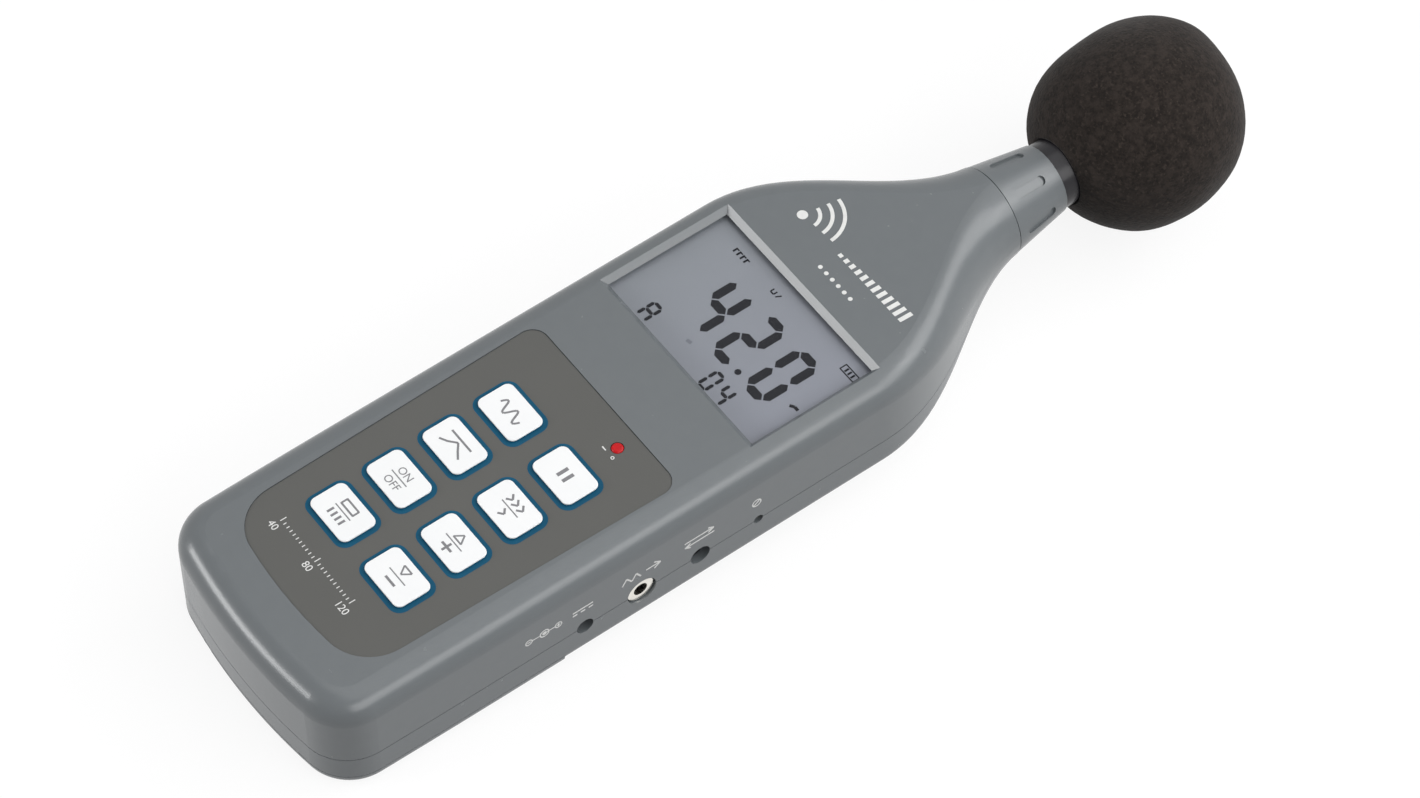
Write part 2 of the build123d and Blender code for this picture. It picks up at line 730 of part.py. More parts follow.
with BuildPart() as lcd_holder:
    with BuildSketch(Plane.XY.offset(main_board_top)):
        with Locations((0, display_y)):
            frame = 2 * (holder_wall + seat_clearance)
            Rectangle(panel_width + frame, panel_height + frame)
            Rectangle(panel_width - 2 * holder_ledge, panel_height, mode=Mode.SUBTRACT)
    extrude(amount=panel_top - holder_lead - main_board_top)
    with BuildSketch(Plane.XY.offset(panel_bottom)):
        with Locations((0, display_y)):
            Rectangle(panel_width + 2 * seat_clearance, panel_height + 2 * seat_clearance)
    extrude(amount=panel_thickness, mode=Mode.SUBTRACT)
    with BuildSketch(Plane.XY.offset(main_board_bottom)):
        with Locations(*holder_pins):
            Circle(holder_pin_radius)
    extrude(amount=board_thickness)
save(lcd_holder.part, "lcd_holder")

with BuildPart() as zebra_strips:
    with BuildSketch(Plane.XY.offset(main_board_top)):
        with Locations((0, display_y)):
            with GridLocations(1, panel_height - strip_width, 1, 2):
                Rectangle(panel_width - 2 * strip_margin, strip_width)
    extrude(amount=panel_bottom - main_board_top)
save(zebra_strips.part, "zebra_strips")

# ---- Boards ------------------------------------------------------------------
spacer_points = [(x, y) for y in spacer_ys for x in (spacer_left_x, spacer_right_x)]

with BuildPart() as main_board:
    with BuildSketch(Plane.XY.offset(main_board_bottom)):
        with Locations((0, main_board_low)):
            length = main_board_high - main_board_low
            align = (Align.CENTER, Align.MIN)
            Rectangle(2 * main_board_half_width, length, align=align)
        with Locations(*board_screw_points):
            Circle(board_screw_radius + seat_clearance, mode=Mode.SUBTRACT)
        with Locations(*holder_pins):
            Circle(holder_pin_radius, mode=Mode.SUBTRACT)
        with Locations(*spacer_points):
            Circle(spacer_stud_radius, mode=Mode.SUBTRACT)
    extrude(amount=board_thickness)
    fillet(main_board.edges().filter_by(Axis.Z), board_corner_radius)
save(main_board.part, "main_board")

with BuildPart() as board_screws:
    with BuildSketch(Plane.XY.offset(main_board_bottom - board_screw_head_height)):
        with Locations(*board_screw_points):
            Circle(board_screw_head_radius)
    extrude(amount=board_screw_head_height)
    with BuildSketch(Plane.XY.offset(main_board_bottom)):
        with Locations(*board_screw_points):
            Circle(board_screw_radius)
    extrude(amount=inside_top - main_board_bottom - seat_clearance)
save(board_screws.part, "board_screws")

with BuildPart() as signal_board:
    with BuildSketch(Plane.XY.offset(signal_board_bottom)):
        with Locations((signal_board_left, signal_board_low)):
            width = signal_board_right - signal_board_left
            length = signal_board_high - signal_board_low
            Rectangle(width, length, align=(Align.MIN, Align.MIN))
        with Locations(*spacer_points):
            Circle(board_screw_radius + seat_clearance, mode=Mode.SUBTRACT)
    extrude(amount=board_thickness)
save(signal_board.part, "signal_board")

with BuildPart() as board_spacers:
    with BuildSketch(Plane.XY.offset(signal_board_top)):
        with Locations(*spacer_points):
            RegularPolygon(spacer_radius, 6)
    extrude(amount=main_board_bottom - signal_board_top)
    with BuildSketch(Plane.XY.offset(main_board_bottom)):
        with Locations(*spacer_points):
            Circle(spacer_stud_radius)
    extrude(amount=board_thickness)
    with BuildSketch(Plane.XY.offset(signal_board_top)):
        with Locations(*spacer_points):
            Circle(board_screw_radius)
    extrude(amount=main_board_bottom - signal_board_top, mode=Mode.SUBTRACT)
save(board_spacers.part, "board_spacers")

with BuildPart() as signal_screws:
    with BuildSketch(Plane.XY.offset(signal_board_bottom - board_screw_head_height)):
        with Locations(*spacer_points):
            Circle(board_screw_head_radius)
    extrude(amount=board_screw_head_height)
    with BuildSketch(Plane.XY.offset(signal_board_bottom)):
        with Locations(*spacer_points):
            Circle(board_screw_radius)
    extrude(amount=(main_board_bottom - signal_board_bottom) / 2)
save(signal_screws.part, "signal_screws")

with BuildPart() as pin_header:
    with BuildSketch(Plane.XY.offset(signal_board_top)):
        with Locations((header_x, header_y)):
            Rectangle(header_pins * header_pitch, header_width)
    extrude(amount=main_board_bottom - signal_board_top)
save(pin_header.part, "pin_header")

with BuildPart() as processor:
    with BuildSketch(Plane.XY.offset(main_board_bottom - processor_height)):
        with Locations((0, processor_y)):
            Rectangle(processor_size, processor_size)
    extrude(amount=processor_height)
save(processor.part, "processor")

with BuildPart() as crystal:
    with BuildSketch(Plane.YZ.offset(-crystal_length / 2)):
        with Locations((crystal_y, main_board_bottom - crystal_radius)):
            Circle(crystal_radius)
    extrude(amount=crystal_length)
save(crystal.part, "crystal")

with BuildPart() as signal_chips:
    with BuildSketch(Plane.XY.offset(signal_board_top)):
        with Locations(*[(chip_x, y) for y in chip_ys]):
            Rectangle(chip_length, chip_width)
    extrude(amount=chip_height)
save(signal_chips.part, "signal_chips")

with BuildPart() as capacitors:
    with BuildSketch(Plane.XY.offset(signal_board_top)):
        with Locations(*[(capacitor_x, y) for y in capacitor_ys]):
            Circle(capacitor_radius)
    extrude(amount=capacitor_height)
save(capacitors.part, "capacitors")

with BuildPart() as status_lamp:
    with BuildSketch(Plane.XY.offset(main_board_top)):
        with Locations((lamp_x, lamp_y)):
            Circle(lamp_flange_radius)
    extrude(amount=lamp_flange_height)
    with BuildSketch(Plane.XY.offset(main_board_top)):
        with Locations((lamp_x, lamp_y)):
            Circle(lamp_radius)
    extrude(amount=overlay_surface + lamp_stand - main_board_top)
    fillet(status_lamp.faces().sort_by(Axis.Z)[-1].edges(), 2 * lamp_stand)
save(status_lamp.part, "status_lamp")


# ---- Sockets -----------------------------------------------------------------
def jack_body(y, bore_radius, bore_depth):
    """A socket body hanging under the signal board, with its bore opening to +X."""
    with BuildPart() as jack:
        with BuildSketch(side_plane(jack_front)):
            with Locations((y, seam_height)):
                Rectangle(jack_width, jack_height)
        extrude(amount=-jack_length)
        with BuildSketch(side_plane(jack_front)):
            with Locations((y, seam_height)):
                Circle(bore_radius)
        extrude(amount=-bore_depth, mode=Mode.SUBTRACT)
    return jack.part


save(jack_body(power_y, power_bore_radius, power_bore_depth), "power_jack")
save(jack_body(output_y, plug_radius, plug_depth), "output_jack")
save(jack_body(serial_y, plug_radius, plug_depth), "serial_jack")

with BuildPart() as power_pin:
    with BuildSketch(side_plane(jack_front - power_bore_depth)):
        with Locations((power_y, seam_height)):
            Circle(power_pin_radius)
    extrude(amount=power_pin_length)
save(power_pin.part, "power_pin")

with BuildPart() as output_bush:
    with BuildSketch(side_plane(jack_front)):
        with Locations((output_y, seam_height)):
            Circle(output_bush_radius)
            Circle(plug_radius, mode=Mode.SUBTRACT)
    extrude(amount=output_bush_length)
save(output_bush.part, "output_bush")

with BuildPart() as trimmer_body:
    with BuildSketch(side_plane(jack_front)):
        with Locations((trimmer_y, seam_height)):
            Rectangle(trimmer_size, jack_height)
    extrude(amount=-trimmer_length)
    with BuildSketch(side_plane(jack_front)):
        with Locations((trimmer_y, seam_height)):
            Circle(rotor_radius + running_clearance)
    extrude(amount=-rotor_depth, mode=Mode.SUBTRACT)
save(trimmer_body.part, "trimmer_body")

with BuildPart() as trimmer_rotor:
    with BuildSketch(side_plane(jack_front)):
        with Locations((trimmer_y, seam_height)):
            Circle(rotor_radius)
    extrude(amount=-rotor_depth)
    with BuildSketch(side_plane(jack_front)):
        with Locations((trimmer_y, seam_height)):
            Rectangle(2 * rotor_radius, rotor_slot_width)
    extrude(amount=-rotor_slot_depth, mode=Mode.SUBTRACT)
save(trimmer_rotor.part, "trimmer_rotor")


# ---- Cells and contacts ------------------------------------------------------
def cell_body(x, way):
    """One cell lying along Y. Its button points to the microphone for way 1, else away."""
    with BuildPart() as cell:
        with BuildSketch(Plane.XZ.offset(-bay_y + way * cell_length / 2)):
            with Locations((x, cell_height)):
                Circle(cell_radius)
        extrude(amount=-way * (cell_length - cell_nub_length))
        with BuildSketch(Plane.XZ.offset(-bay_y - way * (cell_length / 2 - cell_nub_length))):
            with Locations((x, cell_height)):
                Circle(cell_nub_radius)
        extrude(amount=-way * cell_nub_length)
    return cell.part


for index, x in enumerate(cell_columns_x):
    save(cell_body(x, 1 if index % 2 == 0 else -1), f"battery_cell_{index + 1}")


def contact_strip(end_y, way, groups):
    """Contacts on one end wall: a plate for each group of cells, a bowed leaf for each cell."""
    reach = contact_room - contact_gap
    half_height = contact_height / 2
    with BuildPart() as strip:
        for first, last in groups:
            with BuildSketch(Plane.XZ.offset(-end_y)):
                with Locations(((first + last) / 2, cell_height)):
                    Rectangle(last - first + 2 * contact_height / 2, contact_height)
            extrude(amount=-way * contact_thickness)
        for x in cell_columns_x:
            with BuildSketch(Plane.YZ.offset(x - contact_width / 2)):
                with BuildLine():
                    low = (end_y, cell_height - half_height)
                    high = (end_y, cell_height + half_height)
                    ThreePointArc(low, (end_y + way * reach, cell_height), high)
                    inner_low = (end_y, cell_height - half_height + contact_thickness)
                    inner_high = (end_y, cell_height + half_height - contact_thickness)
                    inner_reach = end_y + way * (reach - contact_thickness)
                    Line(high, inner_high)
                    ThreePointArc(inner_high, (inner_reach, cell_height), inner_low)
                    Line(inner_low, low)
                make_face()
            extrude(amount=contact_width)
    return strip.part


def neighbours(cells):
    """First and last cell places of each contact plate."""
    return [(cell_columns_x[first], cell_columns_x[last]) for first, last in cells]


pairs = [(cell, cell + 1) for cell in range(0, cell_count, 2)]
links = [(cell, cell + 1) for cell in range(1, cell_count - 1, 2)]
ends = [(0, 0), (cell_count - 1, cell_count - 1)]
save(contact_strip(bay_high, -1, neighbours(pairs)), "upper_contacts")
save(contact_strip(bay_low, 1, neighbours(links + ends)), "lower_contacts")

# ---- Collar and microphone ---------------------------------------------------
with BuildPart() as recess:
    with BuildSketch():
        SlotOverall(recess_length, recess_width, rotation=90)
    extrude(amount=recess_depth + cut_margin)

with BuildPart() as grip_collar:
    with BuildSketch(neck_plane(thread_to_collar + collar_gap)):
        Circle(neck_radius - neck_taper * collar_gap)
        Circle(stem_radius + running_clearance, mode=Mode.SUBTRACT)
    with BuildSketch(neck_plane(collar_end)):
        Circle(collar_end_radius)
        Circle(stem_radius + running_clearance, mode=Mode.SUBTRACT)
    loft()
    lean = math.degrees(math.atan(neck_taper))
    recess_floor = neck_radius - neck_taper * recess_middle - recess_depth
    for index in range(collar_recesses):
        angle = recess_first_angle + index * 360 / collar_recesses
        turn = Location((0, thread_to_collar + recess_middle, neck_axis_height), (0, angle, 0))
        place = turn * Location((0, 0, recess_floor), (-lean, 0, 0))
        add(recess.part.moved(place), mode=Mode.SUBTRACT)
save(grip_collar.part, "grip_collar")

with BuildPart() as microphone_base:
    with BuildSketch(neck_plane(stem_low)):
        Circle(stem_radius)
    extrude(amount=collar_end + collar_gap - stem_low)
    with BuildSketch(neck_plane(web_low - stem_flange_length)):
        Circle(stem_flange_radius)
    extrude(amount=stem_flange_length)
    with BuildSketch(neck_plane(collar_end + collar_gap)):
        Circle(base_radius)
    extrude(amount=base_length - collar_gap)
    with BuildSketch(neck_plane(stem_low)):
        Circle(stem_bore)
    extrude(amount=base_end - stem_low, mode=Mode.SUBTRACT)
save(microphone_base.part, "microphone_base")

with BuildPart() as preamp_board:
    with BuildSketch(neck_plane(stem_low + seat_clearance)):
        Rectangle(2 * (stem_bore - seat_clearance), preamp_thickness)
    extrude(amount=preamp_length)
save(preamp_board.part, "preamp_board")

with BuildPart() as microphone_body:
    with BuildSketch(neck_plane(base_end)):
        Circle(capsule_radius)
        Circle(capsule_radius - capsule_wall, mode=Mode.SUBTRACT)
    extrude(amount=grid_start - base_end)
save(microphone_body.part, "microphone_body")

diaphragm_y = grid_start - diaphragm_thickness
backplate_y = diaphragm_y - backplate_gap - backplate_length

with BuildPart() as diaphragm:
    with BuildSketch(neck_plane(diaphragm_y)):
        Circle(capsule_radius - capsule_wall)
    extrude(amount=diaphragm_thickness)
save(diaphragm.part, "diaphragm")

with BuildPart() as backplate:
    with BuildSketch(neck_plane(backplate_y)):
        Circle(backplate_radius)
    extrude(amount=backplate_length)
save(backplate.part, "backplate")

with BuildPart() as insulator:
    with BuildSketch(neck_plane(backplate_y - insulator_length)):
        Circle(capsule_radius - capsule_wall)
    extrude(amount=insulator_length)
save(insulator.part, "insulator")

with BuildPart() as protection_grid:
    with BuildSketch(neck_plane(grid_start)):
        Circle(capsule_radius)
    extrude(amount=grid_length)
    with BuildSketch(neck_plane(grid_start)):
        Circle(capsule_radius - grid_wall)
    extrude(amount=grid_length - grid_wall, mode=Mode.SUBTRACT)
    with BuildSketch(neck_plane(grid_start)):
        Circle(grid_hole_radius)
        with PolarLocations(grid_hole_circle, grid_slots // 2):
            Circle(grid_hole_radius)
    extrude(amount=grid_length, mode=Mode.SUBTRACT)
    # slots around the side, each cut right through to the opposite one
    for index in range(grid_slots // 2):
        middle = (0, microphone_tip - grid_length / 2, neck_axis_height)
        with Locations(Location(middle, (0, index * 360 / grid_slots, 0))):
            Box(grid_slot_width, grid_slot_length, 2 * capsule_radius + cut_margin, mode=Mode.SUBTRACT)
save(protection_grid.part, "protection_grid")

# ---- Foam windscreen ---------------------------------------------------------
with BuildPart() as windscreen:
    with Locations((0, thread_to_ball, neck_axis_height)):
        Sphere(windscreen_radius)
    with BuildSketch(neck_plane(collar_end)):
        Circle(base_radius + soft_clearance)
    extrude(amount=base_length + soft_clearance, mode=Mode.SUBTRACT)
    with BuildSketch(neck_plane(collar_end)):
        Circle(capsule_radius + soft_clearance)
    extrude(amount=microphone_tip - collar_end + soft_clearance, mode=Mode.SUBTRACT)
save(windscreen.part, "windscreen")
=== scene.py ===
# %% [markdown]
# # A handheld sound level meter
#
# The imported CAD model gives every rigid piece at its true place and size, in metres.
# This notebook adds what CAD leaves out: the camera and light, the foam ball, the printed
# marks, the display's segments and the surface of every material. The meter could be modelled
# again here from scratch, but then its joints and sizes would drift away from the CAD model.

# %% Load the CAD model
import math

import bmesh
import bpy
from mathutils import Matrix, Vector, noise


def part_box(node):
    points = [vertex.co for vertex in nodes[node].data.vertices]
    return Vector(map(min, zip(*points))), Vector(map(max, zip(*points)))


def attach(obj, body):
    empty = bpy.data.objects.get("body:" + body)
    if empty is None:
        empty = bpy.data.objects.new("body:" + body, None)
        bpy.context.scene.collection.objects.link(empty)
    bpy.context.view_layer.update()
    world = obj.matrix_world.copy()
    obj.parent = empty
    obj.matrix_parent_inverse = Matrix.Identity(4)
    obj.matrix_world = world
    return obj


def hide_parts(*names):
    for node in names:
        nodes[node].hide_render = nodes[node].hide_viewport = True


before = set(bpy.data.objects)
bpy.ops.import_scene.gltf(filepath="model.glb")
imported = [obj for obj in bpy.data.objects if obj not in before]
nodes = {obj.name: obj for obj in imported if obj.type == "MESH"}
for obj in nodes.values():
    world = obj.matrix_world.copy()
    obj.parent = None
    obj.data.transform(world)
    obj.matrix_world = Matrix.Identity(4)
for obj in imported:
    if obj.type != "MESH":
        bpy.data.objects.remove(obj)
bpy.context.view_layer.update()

# %% [markdown]
# ## Camera
#
# The camera looks down at the meter from its lower right, as someone who reads the display
# would. It could be aimed by eye with a tracking constraint, but a measured view is exact: its
# rotation is the matrix of its own right, up and back axes, written in the frame of the model.

# %% Camera
IMAGE_WIDTH = 1420
FOCAL_PIXELS = 5371.3
SENSOR_WIDTH = 36.0
CLIP_START = 0.05
CAMERA_PLACE = (0.557560, -0.371336, 0.994558)

right = Vector((0.593853, 0.804569, -0.002788))
down = Vector((0.658341, -0.487908, -0.573178))
forward = Vector((-0.462522, 0.338548, -0.819426))

camera_data = bpy.data.cameras.new("camera")
camera_data.sensor_fit = "HORIZONTAL"
camera_data.sensor_width = SENSOR_WIDTH
camera_data.lens = SENSOR_WIDTH * FOCAL_PIXELS / IMAGE_WIDTH
camera_data.clip_start = CLIP_START
camera = bpy.data.objects.new("camera", camera_data)
bpy.context.scene.collection.objects.link(camera)
turn = Matrix((right, -down, -forward)).transposed().to_4x4()
camera.matrix_world = Matrix.Translation(CAMERA_PLACE) @ turn
bpy.context.scene.camera = camera
bpy.context.scene.view_settings.view_transform = "Standard"
print("lens", round(camera_data.lens, 2), "mm")

# %% [markdown]
# ## Floor
#
# The meter rests on the lower edge of its battery door and on the foam ball, so the floor
# touches both and leans by about two and a half degrees. Beyond the lower end it is level
# with the back of the meter, which leaves room for the battery door to slide off. A single
# tilted plane would be simpler, but the open door would cut into it. So the floor is two
# faces that meet in a fold under the heel.

# %% Floor
BALL = Vector((0.0, 0.1593, 0.0138))
BALL_RADIUS = 0.0252
HEEL = Vector((0.0, -0.0863, -0.0008))

FLOOR_REACH = 3.0
FLOOR_GAP = 0.0003

span = BALL - HEEL
lean = math.atan2(span.z, span.y) - math.asin(BALL_RADIUS / span.length)
floor_mesh = bmesh.new()
edges = []
for y, rise in ((-FLOOR_REACH, 0.0), (0.0, 0.0), (FLOOR_REACH, FLOOR_REACH * math.tan(lean))):
    edges.append([floor_mesh.verts.new((x, y, rise)) for x in (-FLOOR_REACH, FLOOR_REACH)])
for near, far in zip(edges, edges[1:]):
    floor_mesh.faces.new((near[0], near[1], far[1], far[0]))
floor_data = bpy.data.meshes.new("floor")
floor_mesh.to_mesh(floor_data)
floor_mesh.free()
floor = bpy.data.objects.new("floor", floor_data)
bpy.context.scene.collection.objects.link(floor)
floor.location = HEEL - Vector((0.0, 0.0, FLOOR_GAP))
print("floor leans", round(math.degrees(lean), 2), "degrees")

# %% [markdown]
# ## Light
#
# A wall of three soft boxes stands on the side with the sockets and gives the long edge its
# soft highlight. A narrow one lights the lower end and a wide one hangs overhead. One sun lamp
# would light the meter too, but its highlights would be small and hard. An area light shows in
# glossy plastic with its own outline, so its size and height set the width of a highlight.

# %% Soft boxes
SUBJECT = Vector((0.0, 0.03, 0.01))
WALL_LIFT = 34
WALL_DISTANCE = 1.3
WALL_HEIGHT = 0.6


def soft_box(name, azimuth, elevation, distance, width, height, watts):
    """A rectangular area light that faces the meter; azimuth is in degrees from +X towards +Y."""
    turn = math.radians(azimuth)
    lift = math.radians(elevation)
    level = math.cos(lift)
    direction = Vector((math.cos(turn) * level, math.sin(turn) * level, math.sin(lift)))
    light = bpy.data.lights.new(name, "AREA")
    light.shape = "RECTANGLE"
    light.size = width
    light.size_y = height
    light.energy = watts
    lamp = bpy.data.objects.new(name, light)
    bpy.context.scene.collection.objects.link(lamp)
    lamp.location = SUBJECT + direction * distance
    lamp.rotation_euler = (-direction).to_track_quat("-Z", "Y").to_euler()


soft_box("socket_side", -2, WALL_LIFT, WALL_DISTANCE, 1.0, WALL_HEIGHT, watts=6.2)
soft_box("corner_side", 40, WALL_LIFT, WALL_DISTANCE, 0.8, WALL_HEIGHT, watts=4.3)
soft_box("neck_side", 76, WALL_LIFT, WALL_DISTANCE, 0.8, WALL_HEIGHT, watts=5.4)
soft_box("lower_end", -120, 19, 1.3, 0.7, 0.36, watts=7.6)
soft_box("overhead", 75, 72, 2.0, 2.2, 2.2, watts=15.0)
print("soft boxes:", [light.name for light in bpy.data.lights])

# %% [markdown]
# ## World
#
# A pale sky fills the shadows. A brighter sky would whiten the background as well, but it would
# also wash out the meter. So the world holds two backgrounds: rays that light the meter meet the
# dim sky, and rays that come straight from the camera, a mirror or glass meet plain white.

# %% World
SKY_STRENGTH = 0.16

world = bpy.data.worlds.new("studio")
bpy.context.scene.world = world
world.use_nodes = True
tree = world.node_tree
sky = tree.nodes["Background"]
sky.inputs["Color"].default_value = (0.95, 0.97, 1.0, 1.0)
sky.inputs["Strength"].default_value = SKY_STRENGTH
backdrop = tree.nodes.new("ShaderNodeBackground")
backdrop.inputs["Color"].default_value = (1.0, 1.0, 1.0, 1.0)


def seen_directly(tree):
    """1 for rays from the camera, mirrors and glass, and 0 for rays that light the meter."""
    path = tree.nodes.new("ShaderNodeLightPath")
    total = path.outputs["Is Camera Ray"]
    for kind in ("Is Glossy Ray", "Is Transmission Ray"):
        add = tree.nodes.new("ShaderNodeMath")
        add.operation = "MAXIMUM"
        tree.links.new(total, add.inputs[0])
        tree.links.new(path.outputs[kind], add.inputs[1])
        total = add.outputs["Value"]
    return total


choose = tree.nodes.new("ShaderNodeMixShader")
tree.links.new(seen_directly(tree), choose.inputs["Fac"])
tree.links.new(sky.outputs["Background"], choose.inputs[1])
tree.links.new(backdrop.outputs["Background"], choose.inputs[2])
tree.links.new(choose.outputs["Shader"], tree.nodes["World Output"].inputs["Surface"])
print("sky strength", SKY_STRENGTH, "before a white backdrop")

# %% [markdown]
# ## Node helpers
#
# A material is a graph of nodes. Each node could be placed by hand in the shader editor, but
# the same three come back in every finish here: a noise, a change of range and a blend of two
# colours. A short function for each keeps the recipes readable.

# %% Node helpers
def new_group(name, inputs, outputs):
    """An empty node group with the given sockets; returns it with its two end nodes."""
    group = bpy.data.node_groups.new(name, "ShaderNodeTree")
    for label, kind, value in inputs:
        socket = group.interface.new_socket(name=label, in_out="INPUT", socket_type=kind)
        socket.default_value = value
    for label, kind in outputs:
        group.interface.new_socket(name=label, in_out="OUTPUT", socket_type=kind)
    return group, group.nodes.new("NodeGroupInput"), group.nodes.new("NodeGroupOutput")


def add_noise(tree, vector, scale, detail=2.0, roughness=0.5):
    """A noise texture read at the given coordinates."""
    texture = tree.nodes.new("ShaderNodeTexNoise")
    texture.inputs["Detail"].default_value = detail
    texture.inputs["Roughness"].default_value = roughness
    if isinstance(scale, (int, float)):
        texture.inputs["Scale"].default_value = scale
    else:
        tree.links.new(scale, texture.inputs["Scale"])
    tree.links.new(vector, texture.inputs["Vector"])
    return texture.outputs["Fac"]


def add_range(tree, value, low, high, to_low, to_high):
    """Maps a value from one range to another."""
    node = tree.nodes.new("ShaderNodeMapRange")
    tree.links.new(value, node.inputs["Value"])
    for label, number in (("From Min", low), ("From Max", high), ("To Min", to_low), ("To Max", to_high)):
        if isinstance(number, (int, float)):
            node.inputs[label].default_value = number
        else:
            tree.links.new(number, node.inputs[label])
    return node.outputs["Result"]


def add_mix(tree, factor, first, second):
    """Blends two colours; each may be a socket or a colour."""
    node = tree.nodes.new("ShaderNodeMix")
    node.data_type = "RGBA"
    tree.links.new(factor, node.inputs["Factor"])
    for index, colour in ((6, first), (7, second)):
        if isinstance(colour, tuple):
            node.inputs[index].default_value = (*colour, 1.0)
        else:
            tree.links.new(colour, node.inputs[index])
    return node.outputs[2]


print("helpers:", [helper.__name__ for helper in (new_group, add_noise, add_range, add_mix)])

# %% [markdown]
# ## Surface group
#
# No moulded or printed surface is one flat colour: the resin flows in slow patches, and the
# tool leaves a fine grain. Each material could hold its own copy of that effect, but one node
# group serves them all with its own values. It works in object coordinates, which are metres
# here, so a scale of 1000 gives millimetre detail.

# %% Surface group
MOTTLE_LOW = 0.1
MOTTLE_HIGH = 0.9


def surface_group():
    """Moulded or finished surface: slow mottling of the colour and a fine grain for the bump."""
    group, start, end = new_group(
        "surface",
        [
            ("Dark", "NodeSocketColor", (0.1, 0.1, 0.1, 1.0)),
            ("Light", "NodeSocketColor", (0.2, 0.2, 0.2, 1.0)),
            ("Mottle Scale", "NodeSocketFloat", 60.0),
            ("Grain Scale", "NodeSocketFloat", 1500.0),
            ("Smoothest", "NodeSocketFloat", 0.4),
            ("Roughest", "NodeSocketFloat", 0.5),
        ],
        [("Color", "NodeSocketColor"), ("Roughness", "NodeSocketFloat"), ("Height", "NodeSocketFloat")],
    )
    where = group.nodes.new("ShaderNodeTexCoord").outputs["Object"]
    mottle = add_noise(group, where, start.outputs["Mottle Scale"], 3.0)
    grain = add_noise(group, where, start.outputs["Grain Scale"], 3.0, 0.6)
    blend = add_range(group, mottle, MOTTLE_LOW, MOTTLE_HIGH, 0.0, 1.0)
    colour = add_mix(group, blend, start.outputs["Dark"], start.outputs["Light"])
    smooth, coarse = start.outputs["Smoothest"], start.outputs["Roughest"]
    rough = add_range(group, mottle, MOTTLE_LOW, MOTTLE_HIGH, smooth, coarse)
    group.links.new(colour, end.inputs["Color"])
    group.links.new(rough, end.inputs["Roughness"])
    group.links.new(grain, end.inputs["Height"])
    return group


SURFACE = surface_group()
print("group", SURFACE.name, "with", len(SURFACE.nodes), "nodes")

# %% [markdown]
# ## Finishes
#
# A finish on a real product is a colour, a gloss and a grain. `finish` makes a material from a
# pair of close colours, which the surface group blends, a range of roughness, and the scale
# and depth of its grain in metres. A painted image could do the same, but it would need an
# unwrapped mesh and would blur close up. Noise in object space needs neither.

# %% Finish helper
def finish(name, dark, light, rough, grain=1500.0, depth=0.00002, mottle=60.0, settings=None):
    """A material whose colour, roughness and bump come from the surface group."""
    material = bpy.data.materials.new(name)
    material.use_nodes = True
    tree = material.node_tree
    shader = tree.nodes["Principled BSDF"]
    group = tree.nodes.new("ShaderNodeGroup")
    group.node_tree = SURFACE
    group.inputs["Dark"].default_value = (*dark, 1.0)
    group.inputs["Light"].default_value = (*light, 1.0)
    group.inputs["Mottle Scale"].default_value = mottle
    group.inputs["Grain Scale"].default_value = grain
    group.inputs["Smoothest"].default_value = rough[0]
    group.inputs["Roughest"].default_value = rough[1]
    bump = tree.nodes.new("ShaderNodeBump")
    bump.inputs["Distance"].default_value = depth
    tree.links.new(group.outputs["Color"], shader.inputs["Base Color"])
    tree.links.new(group.outputs["Roughness"], shader.inputs["Roughness"])
    tree.links.new(group.outputs["Height"], bump.inputs["Height"])
    tree.links.new(bump.outputs["Normal"], shader.inputs["Normal"])
    for label, value in (settings or {}).items():
        shader.inputs[label].default_value = value
    return material


print("finishes use the group", SURFACE.name)

# %% [markdown]
# ### Outer plastics and inks
#
# The shells are moulded in a blue-grey resin with a satin tool finish, the keypad is under a
# printed film, and the key faces are white. Inks reflect less than the plastic round them, so
# they get a low specular level. Each pair of colours is close, because a wide pair would read
# as dirt and not as plastic.

# %% Outer plastics and inks
housing = finish(
    "housing", (0.126, 0.139, 0.147), (0.134, 0.147, 0.155), rough=(0.25, 0.28),
    grain=1700.0, depth=0.000010, mottle=300.0, settings={"Specular IOR Level": 0.55},
)
overlay = finish(
    "overlay", (0.076, 0.076, 0.071), (0.086, 0.086, 0.080), rough=(0.44, 0.54), grain=2600.0,
)
key_white = finish(
    "key_white", (0.90, 0.91, 0.91), (0.95, 0.95, 0.95), rough=(0.42, 0.52),
    grain=1800.0, depth=0.00001, mottle=90.0,
)
blue_ink = finish(
    "blue_ink", (0.004, 0.075, 0.145), (0.008, 0.095, 0.175), rough=(0.40, 0.50),
    grain=2500.0, depth=0.00001, settings={"Specular IOR Level": 0.15},
)
white_ink = finish(
    "white_ink", (0.70, 0.70, 0.69), (0.82, 0.82, 0.80), rough=(0.45, 0.55),
    grain=2500.0, depth=0.00001, mottle=900.0,
)
grey_ink = finish(
    "grey_ink", (0.17, 0.17, 0.18), (0.24, 0.24, 0.25), rough=(0.45, 0.55),
    grain=2500.0, depth=0.00001, mottle=900.0,
)
segment_ink = finish(
    "segment_ink", (0.004, 0.004, 0.006), (0.007, 0.007, 0.010), rough=(0.5, 0.6),
    grain=2000.0, depth=0.000005, settings={"Specular IOR Level": 0.1},
)
faint_ink = finish(
    "faint_ink", (0.12, 0.13, 0.16), (0.16, 0.17, 0.20), rough=(0.3, 0.4),
    grain=2000.0, depth=0.000005,
)
print("last of the outer finishes:", faint_ink.name)

# %% [markdown]
# ### Metals and inner pieces
#
# The sockets, the microphone, the cells' contacts and the screws are metal, and the pieces
# inside are boards, chips, rubber and plain plastic. A metal takes its colour from what it
# reflects, so it has a Metallic of one, a pale base colour and a roughness that says how it
# was finished: low for plated, higher for turned.

# %% Metals and inner pieces
METAL = {"Metallic": 1.0}

